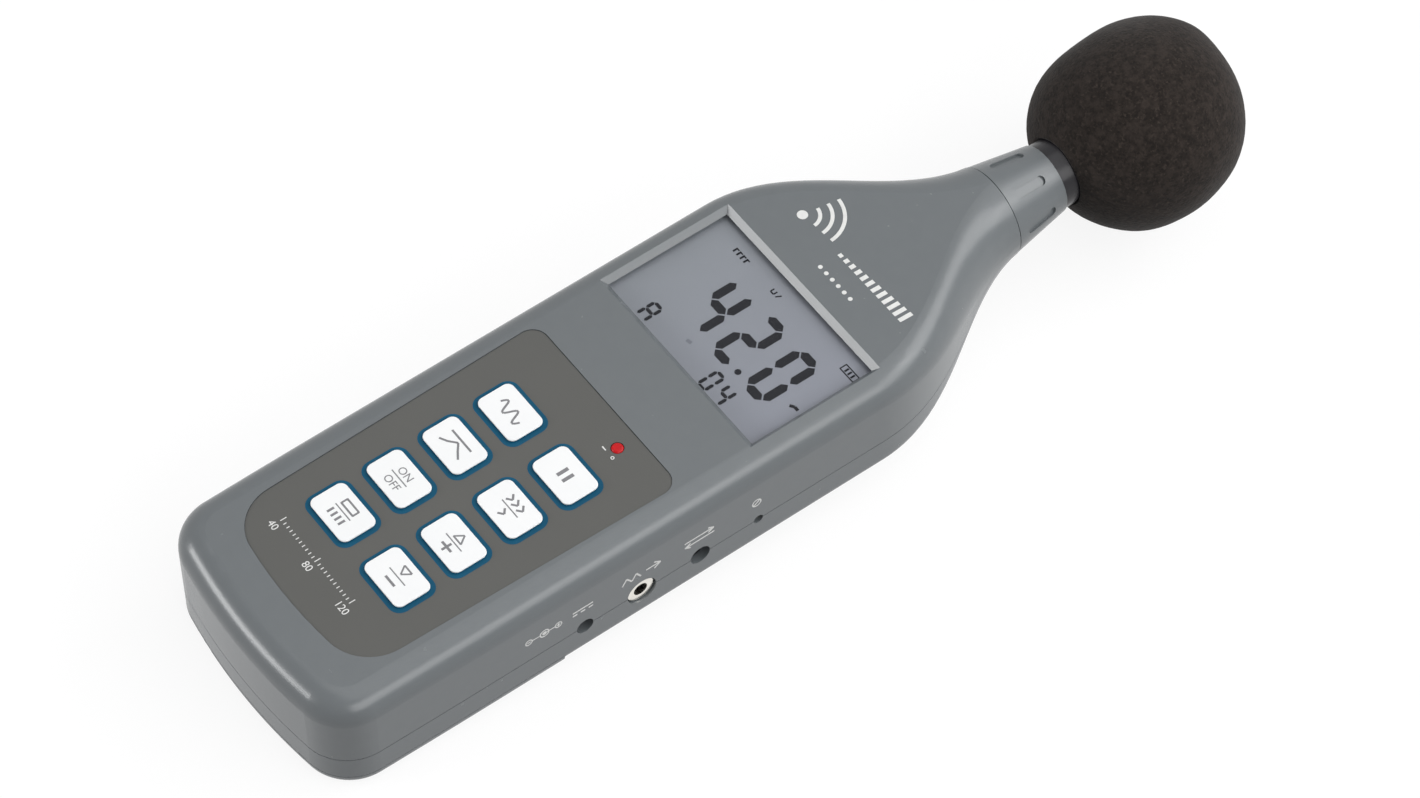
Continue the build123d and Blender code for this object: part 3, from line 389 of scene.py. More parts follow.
dull_black = finish(
    "dull_black", (0.010, 0.010, 0.011), (0.018, 0.018, 0.019), rough=(0.5, 0.65), depth=0.00003,
)
base_gloss = finish(
    "base_gloss", (0.013, 0.012, 0.015), (0.020, 0.019, 0.022), rough=(0.22, 0.28),
    depth=0.00001, settings={"Specular IOR Level": 0.3},
)
nickel = finish(
    "nickel", (0.70, 0.67, 0.62), (0.85, 0.83, 0.78), rough=(0.14, 0.24),
    grain=900.0, mottle=300.0, settings=METAL,
)
steel = finish(
    "steel", (0.42, 0.42, 0.43), (0.55, 0.55, 0.56), rough=(0.30, 0.42),
    grain=1400.0, mottle=200.0, settings=METAL,
)
brass = finish(
    "brass", (0.62, 0.44, 0.17), (0.75, 0.56, 0.25), rough=(0.25, 0.38),
    grain=1400.0, mottle=200.0, settings=METAL,
)
aluminium = finish(
    "aluminium", (0.6, 0.6, 0.61), (0.72, 0.72, 0.73), rough=(0.25, 0.35),
    grain=900.0, mottle=200.0, settings=METAL,
)
laminate = finish(
    "laminate", (0.012, 0.085, 0.035), (0.02, 0.12, 0.05), rough=(0.3, 0.42),
    grain=1200.0, depth=0.00003, mottle=250.0,
)
chip_black = finish(
    "chip_black", (0.014, 0.014, 0.016), (0.024, 0.024, 0.026), rough=(0.45, 0.6), grain=2500.0,
)
silicone = finish(
    "silicone", (0.32, 0.33, 0.34), (0.38, 0.39, 0.40), rough=(0.55, 0.7), grain=1200.0,
)
blue_plastic = finish("blue_plastic", (0.02, 0.06, 0.22), (0.03, 0.08, 0.28), rough=(0.35, 0.5))
ivory = finish("ivory", (0.68, 0.66, 0.58), (0.75, 0.73, 0.66), rough=(0.35, 0.45), depth=0.00001)
lamp_red = finish(
    "lamp_red", (0.46, 0.004, 0.008), (0.60, 0.008, 0.012), rough=(0.3, 0.4),
    grain=600.0, depth=0.00001, mottle=500.0, settings={"Specular IOR Level": 0.25},
)
print(len(bpy.data.materials), "materials so far")

# %% [markdown]
# ### Floor paint
#
# The floor is a pale paper sweep. A white paint that is lit by the lamps would throw light back
# up at the meter and clip to white under it. So the paint itself is dark, and a glow that only
# the camera, mirrors and glass see brings it to white, which leaves the meter's soft shadow.

# %% Floor paint
FLOOR_GLOW = 0.865

floor_paint = finish(
    "floor_paint", (0.12, 0.12, 0.12), (0.14, 0.14, 0.14), rough=(0.85, 0.95), grain=40.0, mottle=2.0,
)
paint_tree = floor_paint.node_tree
glow = paint_tree.nodes.new("ShaderNodeMath")
glow.operation = "MULTIPLY"
glow.inputs[1].default_value = FLOOR_GLOW
paint_tree.links.new(seen_directly(paint_tree), glow.inputs[0])
paint_shader = paint_tree.nodes["Principled BSDF"]
paint_shader.inputs["Emission Color"].default_value = (1.0, 1.0, 1.0, 1.0)
paint_tree.links.new(glow.outputs["Value"], paint_shader.inputs["Emission Strength"])
floor.data.materials.append(floor_paint)
print(len(bpy.data.materials), "materials with the floor's")

# %% [markdown]
# ### Window and display glass
#
# The window is a thin clear plate over the display. It could be real glass with transmission,
# but so thin a plate bends nothing, so a low alpha shows the display under it and renders
# without noise. The display's own glass is a bluish grey whose tone drifts from side to side.

# %% Window
window_clear = finish(
    "window_clear", (0.60, 0.63, 0.68), (0.66, 0.69, 0.74), rough=(0.08, 0.14),
    grain=300.0, depth=0.000002, mottle=30.0, settings={"Alpha": 0.015},
)
print("window alpha", round(window_clear.node_tree.nodes["Principled BSDF"].inputs["Alpha"].default_value, 3))

# %% Display glass
HALF_DISPLAY = 0.027


def take_apart(material):
    """A finish's tree, shader and mottled colour, and the place on the piece as X, Y and Z."""
    tree = material.node_tree
    group = next(node for node in tree.nodes if node.type == "GROUP")
    where = tree.nodes.new("ShaderNodeTexCoord").outputs["Object"]
    split = tree.nodes.new("ShaderNodeSeparateXYZ")
    tree.links.new(where, split.inputs["Vector"])
    return tree, tree.nodes["Principled BSDF"], group.outputs["Color"], split.outputs


def display_material():
    """Reflective display glass: bluish grey with a slow change of tone across it."""
    material = finish(
        "display", (0.218, 0.233, 0.265), (0.240, 0.255, 0.290), rough=(0.30, 0.38),
        grain=2500.0, depth=0.000004, mottle=35.0,
    )
    tree, shader, mottled, place = take_apart(material)
    across = add_range(tree, place["X"], -HALF_DISPLAY, HALF_DISPLAY, 0.0, 1.0)
    tinted = add_mix(tree, across, (0.210, 0.228, 0.242), (0.228, 0.237, 0.284))
    mixed = tree.nodes.new("ShaderNodeMix")
    mixed.data_type = "RGBA"
    mixed.inputs["Factor"].default_value = 0.5
    tree.links.new(mottled, mixed.inputs[6])
    tree.links.new(tinted, mixed.inputs[7])
    tree.links.new(mixed.outputs[2], shader.inputs["Base Color"])
    return material


display_glass = display_material()
print("display glass has", len(display_glass.node_tree.nodes), "nodes")

# %% [markdown]
# ### Cell jacket
#
# Four cells lie side by side under the battery door. Each has a dark printed sleeve with a
# copper band at its upper end. The band could be a second piece of sleeve, but as ink it has no
# thickness, so the material compares the height along Y with the middle of the band.

# %% Cell jacket
BAND_MIDDLE = -0.0415
BAND_HALF = 0.0045


def jacket_material():
    """A plain two-tone jacket."""
    material = finish(
        "cell_jacket", (0.018, 0.018, 0.02), (0.03, 0.03, 0.033), rough=(0.22, 0.34),
        grain=800.0, depth=0.00001,
    )
    tree, shader, mottled, place = take_apart(material)
    band = tree.nodes.new("ShaderNodeMath")
    band.operation = "COMPARE"
    tree.links.new(place["Y"], band.inputs[0])
    band.inputs[1].default_value = BAND_MIDDLE
    band.inputs[2].default_value = BAND_HALF
    colour = add_mix(tree, band.outputs["Value"], mottled, (0.48, 0.24, 0.10))
    tree.links.new(colour, shader.inputs["Base Color"])
    return material


cell_jacket = jacket_material()
print("band", round(2000 * BAND_HALF, 1), "mm wide")

# %% [markdown]
# ### Foam
#
# Open cell foam is nearly black, with pores and small pale specks where the cell walls catch
# the light. Real pores could be cut in the mesh, but they are a tenth of a millimetre wide, so
# a cell texture paints shade into them, a fine noise adds the specks as painted highlights and a
# coarser one the cloudy patches. A shallow bump and a little sheen take the plastic look away.

# %% Foam
PORE_SCALE = 1300.0
SPECK_SCALE = 1150.0
PATCH_SCALE = 480.0
FOAM_DEPTH = 0.00005


def foam_material():
    """Charcoal foam with painted shade in its pores and painted highlights as pale specks."""
    material = bpy.data.materials.new("foam")
    material.use_nodes = True
    tree = material.node_tree
    shader = tree.nodes["Principled BSDF"]
    shader.inputs["Specular IOR Level"].default_value = 0.15
    shader.inputs["Sheen Weight"].default_value = 0.10
    shader.inputs["Sheen Roughness"].default_value = 0.5
    where = tree.nodes.new("ShaderNodeTexCoord").outputs["Object"]
    pores = tree.nodes.new("ShaderNodeTexVoronoi")
    pores.inputs["Scale"].default_value = PORE_SCALE
    tree.links.new(where, pores.inputs["Vector"])
    fine = add_noise(tree, where, SPECK_SCALE, 2.0, 0.6)
    coarse = add_noise(tree, where, PATCH_SCALE, 3.0, 0.7)
    # painted shade: the middle of each pore gets a darker colour; the same value also sinks the pore in the
    # bump
    depth = add_range(tree, pores.outputs["Distance"], 0.15, 0.7, 1.0, 0.0)
    tone = add_mix(tree, depth, (0.0165, 0.0125, 0.0103), (0.0085, 0.0064, 0.0054))
    # painted highlight: pale specks of colour where the cell walls catch the light
    painted_glint = add_range(tree, fine, 0.54, 0.78, 0.0, 0.6)
    tone_with_glints = add_mix(tree, painted_glint, tone, (0.085, 0.068, 0.058))
    patch = add_range(tree, coarse, 0.44, 0.62, 0.0, 0.7)
    colour = add_mix(tree, patch, tone_with_glints, (0.035, 0.027, 0.023))
    tree.links.new(colour, shader.inputs["Base Color"])
    tree.links.new(add_range(tree, fine, 0.3, 0.7, 0.85, 1.0), shader.inputs["Roughness"])
    height = tree.nodes.new("ShaderNodeMath")
    height.operation = "SUBTRACT"
    tree.links.new(fine, height.inputs[0])
    tree.links.new(depth, height.inputs[1])
    bump = tree.nodes.new("ShaderNodeBump")
    bump.inputs["Distance"].default_value = FOAM_DEPTH
    tree.links.new(height.outputs["Value"], bump.inputs["Height"])
    tree.links.new(bump.outputs["Normal"], shader.inputs["Normal"])
    return material


foam = foam_material()
print("foam has", len(foam.node_tree.nodes), "nodes")

# %% [markdown]
# ## Materials on the CAD nodes
#
# Each rigid piece already has its true shape from CAD, so all it needs here is a finish. The
# names could be given one line each, but a table that lists the pieces under their finish
# shows at a glance what is made of what. A node keeps its shape and place.

# %% Materials on the CAD nodes
looks = {
    housing: ["front_shell", "rear_shell", "battery_door", "grip_collar"],
    overlay: ["keypad_overlay"],
    key_white: [name for name in nodes if name.startswith("key_")],
    window_clear: ["display_lens"],
    display_glass: ["lcd_panel"],
    dull_black: [
        "lcd_holder", "zebra_strips", "pin_header", "power_jack", "output_jack", "serial_jack",
    ],
    silicone: ["keypad_mat"],
    laminate: ["main_board", "signal_board", "preamp_board"],
    steel: [
        "case_screws", "board_screws", "signal_screws", "microphone_body", "protection_grid",
        "backplate",
    ],
    brass: ["tripod_insert", "board_spacers", "trimmer_rotor"],
    chip_black: ["processor", "signal_chips"],
    nickel: [
        "output_bush", "power_pin", "crystal", "upper_contacts", "lower_contacts", "diaphragm",
    ],
    aluminium: ["capacitors"],
    lamp_red: ["status_lamp"],
    blue_plastic: ["trimmer_body"],
    cell_jacket: [f"battery_cell_{index}" for index in range(1, 5)],
    base_gloss: ["microphone_base"],
    ivory: ["insulator"],
}
for material, names in looks.items():
    for name in names:
        mesh = nodes[name].data
        mesh.materials.clear()
        mesh.materials.append(material)
done = {name for names in looks.values() for name in names}
print("bare nodes:", sorted(set(nodes) - done))

# %% [markdown]
# ## Foam ball: section
#
# The wind ball is moulded foam with a blind bore that grips the microphone. A sphere with a
# boolean hole would do, but it leaves long thin faces at the cut. A section that is spun about
# the microphone axis gives clean rings: round outside, folded in at its mouth, hollow inside.

# %% Section of the foam ball
MOUTH_RADIUS = 0.0086
BORE_RADIUS = 0.00665
MOUTH_DEPTH = 0.1393
BORE_END = 0.179
BALL_RINGS = 190


def ball_profile():
    """Radius and Y of the ball's section, from the bore's blind end to the far pole."""
    first = math.asin(MOUTH_RADIUS / BALL_RADIUS)
    bore = [(0.0, BORE_END), (BORE_RADIUS, BORE_END), (BORE_RADIUS, MOUTH_DEPTH)]
    profile = bore + [(MOUTH_RADIUS, MOUTH_DEPTH)]
    for step in range(BALL_RINGS + 1):
        angle = first + (math.pi - first) * step / BALL_RINGS
        profile.append((BALL_RADIUS * math.sin(angle), BALL.y - BALL_RADIUS * math.cos(angle)))
    return profile


section = ball_profile()
print("section has", len(section), "points")

# %% [markdown]
# ## Foam ball: spinning the section
#
# A screw modifier could turn the section, but here each ring is made by hand, so that the two
# ends on the axis become single points and not a knot of doubled ones.

# %% Spin
BALL_SEGMENTS = 300
ON_AXIS = 1e-6


def spin(profile, segments):
    """A mesh made by turning a profile about the microphone axis."""
    mesh = bmesh.new()
    rings = []
    for radius, y in profile:
        if radius < ON_AXIS:
            rings.append([mesh.verts.new((0.0, y, BALL.z))])
            continue
        ring = []
        for index in range(segments):
            angle = 2 * math.pi * index / segments
            x, z = radius * math.sin(angle), BALL.z + radius * math.cos(angle)
            ring.append(mesh.verts.new((x, y, z)))
        rings.append(ring)
    for near, far in zip(rings, rings[1:]):
        for index in range(segments):
            after = (index + 1) % segments
            first, second = near[index % len(near)], near[after % len(near)]
            third, fourth = far[after % len(far)], far[index % len(far)]
            mesh.faces.new(list(dict.fromkeys((first, second, third, fourth))))
    bmesh.ops.recalc_face_normals(mesh, faces=mesh.faces)
    return mesh


ball_mesh = spin(section, BALL_SEGMENTS)
print("ball has", len(ball_mesh.verts), "points")

# %% [markdown]
# ## Foam ball: swells
#
# A foam ball is never a true sphere: it has been squeezed in a case and has soft flats. A
# sculpt brush could press them in, but a smooth hill for each, with a direction, a height and
# a spread, gives the same dents every time the script runs.

# %% Swells of the foam ball
# soft flats and swells: direction from the ball's middle, height in metres, spread in radians
SWELLS = (
    (Vector((-0.880, -0.062, 0.471)), -0.0022, 0.52),
    (Vector((-0.302, 0.809, 0.505)), 0.0009, 0.31),
    (Vector((0.886, 0.143, -0.441)), -0.0008, 0.44),
    (Vector((-0.534, -0.844, -0.047)), 0.0004, 0.35),
)


def swell(direction):
    """How far the foam stands out from a true ball in this direction."""
    total = 0.0
    for middle, height, spread in SWELLS:
        away = direction.angle(middle) / spread
        total += height * math.exp(-away * away)
    return total


SKIN_DEPTH = 0.0001
SLOW_SCALE, SLOW_HEIGHT = 110.0, 0.00018
FINE_SCALE, FINE_HEIGHT = 900.0, 0.00003
SHRINK = 0.00012

for vertex in ball_mesh.verts:
    out = vertex.co - BALL
    if out.length > BALL_RADIUS - SKIN_DEPTH:
        direction = out.normalized()
        slow = noise.noise(vertex.co * SLOW_SCALE) * SLOW_HEIGHT
        fine = noise.noise(vertex.co * FINE_SCALE) * FINE_HEIGHT - SHRINK
        vertex.co += direction * (swell(direction) + slow + fine)
reach = max((vertex.co - BALL).length for vertex in ball_mesh.verts)
print("ball reaches", round(reach * 1000, 2), "mm from its middle")

# %% [markdown]
# ## Foam ball: the piece
#
# The ball pulls off the microphone, so its object rides on the body of that name and replaces
# the plain solid there. It is firm foam with no cover, so it needs no cloth simulation.

# %% Foam ball
data = bpy.data.meshes.new("foam_ball")
ball_mesh.to_mesh(data)
ball_mesh.free()
data.polygons.foreach_set("use_smooth", [True] * len(data.polygons))
data.materials.append(foam)
foam_ball = bpy.data.objects.new("foam_ball", data)
bpy.context.scene.collection.objects.link(foam_ball)
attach(foam_ball, "windscreen")
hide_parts("windscreen")
print("foam ball", len(data.vertices), "vertices")

# %% [markdown]
# ## Printed marks
#
# The marks on the real meter are screen printed. They could be painted in a material through a
# mask, but then they would blur close up. Here every mark is a very thin plate that stands on
# the surface it is printed on. `Plate` collects outlines in millimetres on one plane and
# turns them into one piece.

# %% Plate
INK = 0.00003
INK_STEP = 0.0000015
INK_LEVELS = 5
MILLIMETRE = 0.001


class Plate:
    """Outlines on a plane, built into one thin printed piece."""

    def __init__(self, name, origin, across=(1, 0, 0), up=(0, 1, 0)):
        self.name = name
        self.origin = Vector(origin)
        self.across = Vector(across)
        self.up = Vector(up)
        self.mesh = bmesh.new()
        self.strokes = 0

    def place(self, x, y, rise=0.0):
        """Point of the model for a point of the drawing in millimetres."""
        normal = self.across.cross(self.up)
        return self.origin + (self.across * x + self.up * y) * MILLIMETRE + normal * rise

    def shape(self, points):
        """One filled outline."""
        # strokes that cross get slightly different heights, so no two tops share a plane
        self.strokes += 1
        rise = INK - INK_STEP * (self.strokes % INK_LEVELS)
        low = [self.mesh.verts.new(self.place(x, y)) for x, y in points]
        high = [self.mesh.verts.new(self.place(x, y, rise)) for x, y in points]
        self.mesh.faces.new(high)
        self.mesh.faces.new(low[::-1])
        for index in range(len(points)):
            after = (index + 1) % len(points)
            self.mesh.faces.new((low[index], low[after], high[after], high[index]))

    def ring(self, outer, inner):
        """The band between two outlines with the same number of points."""
        layers = []
        for rise in (0.0, INK + INK_STEP):
            for points in (outer, inner):
                layers.append([self.mesh.verts.new(self.place(x, y, rise)) for x, y in points])
        low_out, low_in, high_out, high_in = layers
        for index in range(len(outer)):
            after = (index + 1) % len(outer)
            top, bottom = (high_out, high_in), (low_in, low_out)
            outside, inside = (low_out, high_out), (high_in, low_in)
            for first, second in (top, bottom, outside, inside):
                self.mesh.faces.new((first[index], first[after], second[after], second[index]))

    def pillow(self, slices):
        """A plate built from outlines, each at its own height, from the lowest to the highest."""
        layers = []
        for points, rise in slices:
            layers.append([self.mesh.verts.new(self.place(x, y, rise)) for x, y in points])
        self.mesh.faces.new(layers[0][::-1])
        self.mesh.faces.new(layers[-1])
        for low, high in zip(layers, layers[1:]):
            for index in range(len(low)):
                after = (index + 1) % len(low)
                self.mesh.faces.new((low[index], low[after], high[after], high[index]))

    def finish(self, material, body, slot):
        """Makes the piece, which rides on a body."""
        bmesh.ops.recalc_face_normals(self.mesh, faces=self.mesh.faces)
        data = bpy.data.meshes.new(self.name)
        self.mesh.to_mesh(data)
        self.mesh.free()
        data.materials.append(material)
        piece = bpy.data.objects.new(self.name, data)
        bpy.context.scene.collection.objects.link(piece)
        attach(piece, body)


print("ink stands", round(INK * 1000, 3), "mm high")

# %% [markdown]
# ### Strokes and lettering
#
# Pictograms are drawn with strokes, as with a pen, so `Drawing` adds strokes, dots and rings to
# the plate. Letters come from a text object that is turned into a mesh, because their outlines
# would be long to write by hand.

# %% Drawing
CAPITAL_SHARE = 0.7


class Drawing(Plate):
    """A plate with strokes, dots, rings and lettering."""

    def bar(self, x0, y0, x1, y1, width):
        """A straight stroke."""
        along = Vector((x1 - x0, y1 - y0)).normalized() * width / 2
        side = Vector((-along.y, along.x))
        self.shape([
            (x0 + side.x, y0 + side.y), (x0 - side.x, y0 - side.y),
            (x1 - side.x, y1 - side.y), (x1 + side.x, y1 + side.y),
        ])

    def path(self, points, width):
        """Straight strokes from point to point."""
        for (x0, y0), (x1, y1) in zip(points, points[1:]):
            self.bar(x0, y0, x1, y1, width)

    def circle(self, x, y, radius, width=None, steps=28):
        """A dot, or a ring where a width is given."""
        turns = [2 * math.pi * step / steps for step in range(steps)]
        outer = [(x + radius * math.cos(turn), y + radius * math.sin(turn)) for turn in turns]
        if width is None:
            self.shape(outer)
            return
        small = radius - width
        self.ring(outer, [(x + small * math.cos(turn), y + small * math.sin(turn)) for turn in turns])

    def text(self, words, x, y, height):
        """Plain lettering centred on a point."""
        curve = bpy.data.curves.new("words", "FONT")
        curve.body = words
        curve.size = height / CAPITAL_SHARE
        curve.align_x = "CENTER"
        curve.resolution_u = 4
        writer = bpy.data.objects.new("words", curve)
        bpy.context.scene.collection.objects.link(writer)
        bpy.context.view_layer.update()
        graph = bpy.context.evaluated_depsgraph_get()
        flat = bpy.data.meshes.new_from_object(writer.evaluated_get(graph))
        bpy.data.objects.remove(writer)
        solid = bmesh.new()
        solid.from_mesh(flat)
        bpy.data.meshes.remove(flat)
        extruded = bmesh.ops.extrude_face_region(solid, geom=solid.faces[:])
        raised = {item for item in extruded["geom"] if isinstance(item, bmesh.types.BMVert)}
        for vertex in solid.verts:
            rise = INK if vertex in raised else 0.0
            vertex.co = self.place(x + vertex.co.x, y + vertex.co.y - height / 2, rise)
        joined = bpy.data.meshes.new("joined")
        solid.to_mesh(joined)
        solid.free()
        self.mesh.from_mesh(joined)
        bpy.data.meshes.remove(joined)


print("capitals fill", CAPITAL_SHARE, "of the size of their text")

# %% [markdown]
# ### Rounded outline
#
# Key faces, their frames and some signs are rectangles with round corners. A bevel on each
# mesh would work, but an outline with its corners already round can be inset ring by ring.

# %% Rounded outline
def rounded(x, y, width, height, radius, steps=6):
    """Outline of a rectangle with round corners."""
    points = []
    for index, (sx, sy) in enumerate(((1, 1), (-1, 1), (-1, -1), (1, -1))):
        for step in range(steps + 1):
            angle = math.pi / 2 * (index + step / steps)
            corner_x = x + sx * (width / 2 - radius)
            corner_y = y + sy * (height / 2 - radius)
            points.append((corner_x + radius * math.cos(angle), corner_y + radius * math.sin(angle)))
    return points


print("a rounded outline has", len(rounded(0, 0, 2, 2, 0.5)), "points")

# %% [markdown]
# ### Keys: outline of a face
#
# Each cap carries a thin white face with a lip, which hides the gap round the cap. The printed
# frame follows the same shape further out, so one helper with a margin serves both.

# %% Outline of a key face
FACE_WIDTH = 13.7
FACE_HEIGHT = 9.3
FACE_RADIUS = 1.7


def field(x, y, margin):
    """Outline of a key's white field, wider by a margin on every side."""
    width, height = FACE_WIDTH + 2 * margin, FACE_HEIGHT + 2 * margin
    return rounded(x, y, width, height, FACE_RADIUS + margin)


print("a key face is", FACE_WIDTH, "x", FACE_HEIGHT, "mm")

# %% [markdown]
# ### Keys: rounded rim
#
# The rim of a real key face is softly rounded. A bevel modifier could do that, but here the
# outline just steps inwards as it rises, along a quarter of a circle.

# %% Layers of a key face
FACE_BELOW = 0.00005
FACE_ABOVE = 0.00032
FACE_EDGE = 0.15
RIM_STEPS = 4


def face_layers():
    """Outlines of a key face from the bottom up, each with its height above the cap."""
    layers = [(field(0, 0, 0.0), -FACE_BELOW)]
    for step in range(RIM_STEPS + 1):
        angle = math.pi / (2 * RIM_STEPS) * step
        inset = FACE_EDGE * (1 - math.cos(angle))
        drop = FACE_EDGE * MILLIMETRE * (1 - math.sin(angle))
        layers.append((field(0, 0, -inset), FACE_ABOVE - drop))
    return layers


print("a key face has", len(face_layers()), "layers")

# %% [markdown]
# ### Keys: faces and frames
#
# A face moves with its key, so it is a piece of its own that rides there, and it stays clear
# of the overlay when the key goes down. The frames never move, so all eight are one piece.

# %% Key faces and frames
FRAME_WIDTH = 1.2
FRAME_UNDER_FACE = 0.3
HALF_IN_MM = 500
overlay_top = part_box("keypad_overlay")[1].z

frames = Drawing("key_frames", (0, 0, overlay_top))
key_middles = {}
for name in [name for name in nodes if name.startswith("key_")]:
    low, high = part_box(name)
    x, y = (low.x + high.x) * HALF_IN_MM, (low.y + high.y) * HALF_IN_MM
    key_middles[name] = (x, y, high.z + FACE_ABOVE)
    frames.ring(field(x, y, FRAME_WIDTH), field(x, y, -FRAME_UNDER_FACE))
    face = Drawing(name + "_face", (x * MILLIMETRE, y * MILLIMETRE, high.z))
    face.pillow(face_layers())
    face.finish(key_white, name, "key_cap")
frames.finish(blue_ink, "housing", "overlay_film")
print("keys at", {name: (round(x, 1), round(y, 1)) for name, (x, y, top) in key_middles.items()})

# %% [markdown]
# ### Keys: pictograms of the left keys
#
# Real keys are labelled with words. Small line pictograms say the same in any language, and
# a function for each, drawn round the middle of the cap, is easy to change.

# %% Wave, held peak, on and off
STROKE = 0.5
THICK = 0.6
RULE = 0.28
WORD_HEIGHT = 1.9
WAVE_STEP, WAVE_HEIGHT, WAVE_HALF = 0.3, 1.5, 1.8


def rule(mark, reach):
    """The thin line between the two halves of a key."""
    mark.bar(-reach, 0.0, reach, 0.0, RULE)


def function_mark(mark):
    steps = [index * WAVE_STEP for index in range(-12, 13)]
    mark.path([(x, WAVE_HEIGHT * math.sin(x * math.pi / WAVE_HALF)) for x in steps], STROKE)


def max_hold_mark(mark):
    mark.bar(-3.6, 1.8, 3.6, 1.8, STROKE)
    mark.path([(-3.6, -1.7), (-1.8, -0.7), (0.0, 0.9), (1.8, -0.5), (3.6, -1.7)], STROKE)


def power_mark(mark):
    mark.text("ON", 0.0, 1.75, WORD_HEIGHT)
    rule(mark, 2.8)
    mark.text("OFF", 0.0, -1.85, WORD_HEIGHT)


print("strokes on the keys are", STROKE, "mm wide")

# %% [markdown]
# ### Keys: pictograms of the right keys
#
# A card with pins stands for the memory, two bars for hold, chevrons for fast and slow, and
# plain arrows with a plus or minus sign for up and down.

# %% Memory, hold, speed, up and down
ARROW_STROKE = 0.4


def memory_mark(mark):
    mark.ring(rounded(0, 1.9, 4.8, 2.1, 0.3), rounded(0, 1.9, 3.9, 1.2, 0.2))
    rule(mark, 2.8)
    for x in (-2.1, -0.7, 0.7, 2.1):
        mark.bar(x, -0.9, x, -2.7, THICK)


def hold_mark(mark):
    for x in (-1.0, 1.0):
        mark.bar(x, -1.5, x, 1.5, 0.9)


def speed_mark(mark):
    for x in (-1.9, 0.0, 1.9):
        mark.path([(x - 0.7, 0.8), (x + 0.5, 1.8), (x - 0.7, 2.8)], STROKE)
    rule(mark, 2.9)
    mark.path([(-0.7, -2.8), (0.5, -1.8), (-0.7, -0.8)], STROKE)


def up_mark(mark):
    mark.path([(-1.4, 0.9), (0.0, 2.9), (1.4, 0.9), (-1.4, 0.9)], ARROW_STROKE)
    rule(mark, 2.9)
    mark.bar(-1.7, -1.9, 1.7, -1.9, THICK)
    mark.bar(0.0, -3.2, 0.0, -0.6, THICK)


def down_mark(mark):
    mark.path([(-1.4, 2.9), (0.0, 0.9), (1.4, 2.9), (-1.4, 2.9)], ARROW_STROKE)
    rule(mark, 2.9)
    mark.bar(-1.7, -1.9, 1.7, -1.9, THICK)


print("arrows are drawn", ARROW_STROKE, "mm wide")

# %% [markdown]
# ### Keys: printing
#
# A mark has to move with its key too, so each is printed on the face as a piece that rides
# there. A dictionary pairs the names with the functions, so that nothing is written twice.

# %% Printing the key marks
marks = {
    "key_function": function_mark, "key_max_hold": max_hold_mark, "key_power": power_mark,
    "key_memory": memory_mark, "key_hold": hold_mark, "key_speed": speed_mark,
    "key_up": up_mark, "key_down": down_mark,
}
for name, draw in marks.items():
    x, y, top = key_middles[name]
    printed = Drawing(name + "_mark", (x * MILLIMETRE, y * MILLIMETRE, top))
    draw(printed)
    printed.finish(grey_ink, name, "key_cap")
print("printed", len(marks), "key marks")

# %% [markdown]
# ### Display: digits
#
# A segment display lights up to seven bars for each digit. A segment typeface would do, but
# bars with pointed ends are simple to draw and need no font file.

# %% Seven-segment digit
SEGMENTS = {"0": "abcdef", "2": "abged", "4": "fgbc", "A": "efabcg"}
SEGMENT_GAP = 0.12


def draw_digit(drawing, shown, x, y, width, height, stroke):
    """One seven-segment digit; x and y are its lower left corner."""
    half = height / 2
    gap = stroke * SEGMENT_GAP
    ends = {
        "a": (0, height, width, height), "b": (width, height, width, half),
        "c": (width, half, width, 0), "d": (0, 0, width, 0), "e": (0, half, 0, 0),
        "f": (0, height, 0, half), "g": (0, half, width, half),
    }
    for segment in SEGMENTS[shown]:
        x0, y0, x1, y1 = ends[segment]
        start, end = Vector((x + x0, y + y0)), Vector((x + x1, y + y1))
        along = (end - start).normalized()
        side = Vector((-along.y, along.x)) * stroke / 2
        tip, shoulder = along * gap, along * (gap + stroke / 2)
        outline = [start + tip, start + shoulder - side, end - shoulder - side]
        outline += [end - tip, end - shoulder + side, start + shoulder + side]
        drawing.shape([tuple(point) for point in outline])


print("digits known:", sorted(SEGMENTS))

# %% [markdown]
# ### Display: reading
#
# The reading lies on the display's panel, under the clear window, as on the real meter: a
# large value, a small one below it and the letter of the weighting.

# %% Reading
BIG_DIGIT = (5.6, 14.9, 2.2)
SMALL_DIGIT = (2.4, 5.4, 0.85)
LETTER = (2.6, 5.0, 0.85)
panel_top = (0.00042, -0.00031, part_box("lcd_panel")[1].z)

reading = Drawing("display_reading", panel_top)
for shown, x in (("4", -11.2), ("2", 0.2), ("0", 12.2)):
    draw_digit(reading, shown, x, 37.9, *BIG_DIGIT)
reading.circle(8.4, 38.3, 0.8)
for shown, x in (("0", 5.6), ("4", 10.4)):
    draw_digit(reading, shown, x, 29.4, *SMALL_DIGIT)
draw_digit(reading, "A", -17.9, 29.8, *LETTER)
reading.finish(segment_ink, "housing", "lcd_glass")
print("reading lies", round(panel_top[2] * 1000, 2), "mm above the back")

# %% [markdown]
# ### Display: small signs
#
# Signs for the mode and the battery stand round the reading. One idle segment is barely lit,
# so it is a piece of its own with fainter ink.

# %% Small signs
SIGN_LINE, SIGN_THICK = 0.35, 0.5

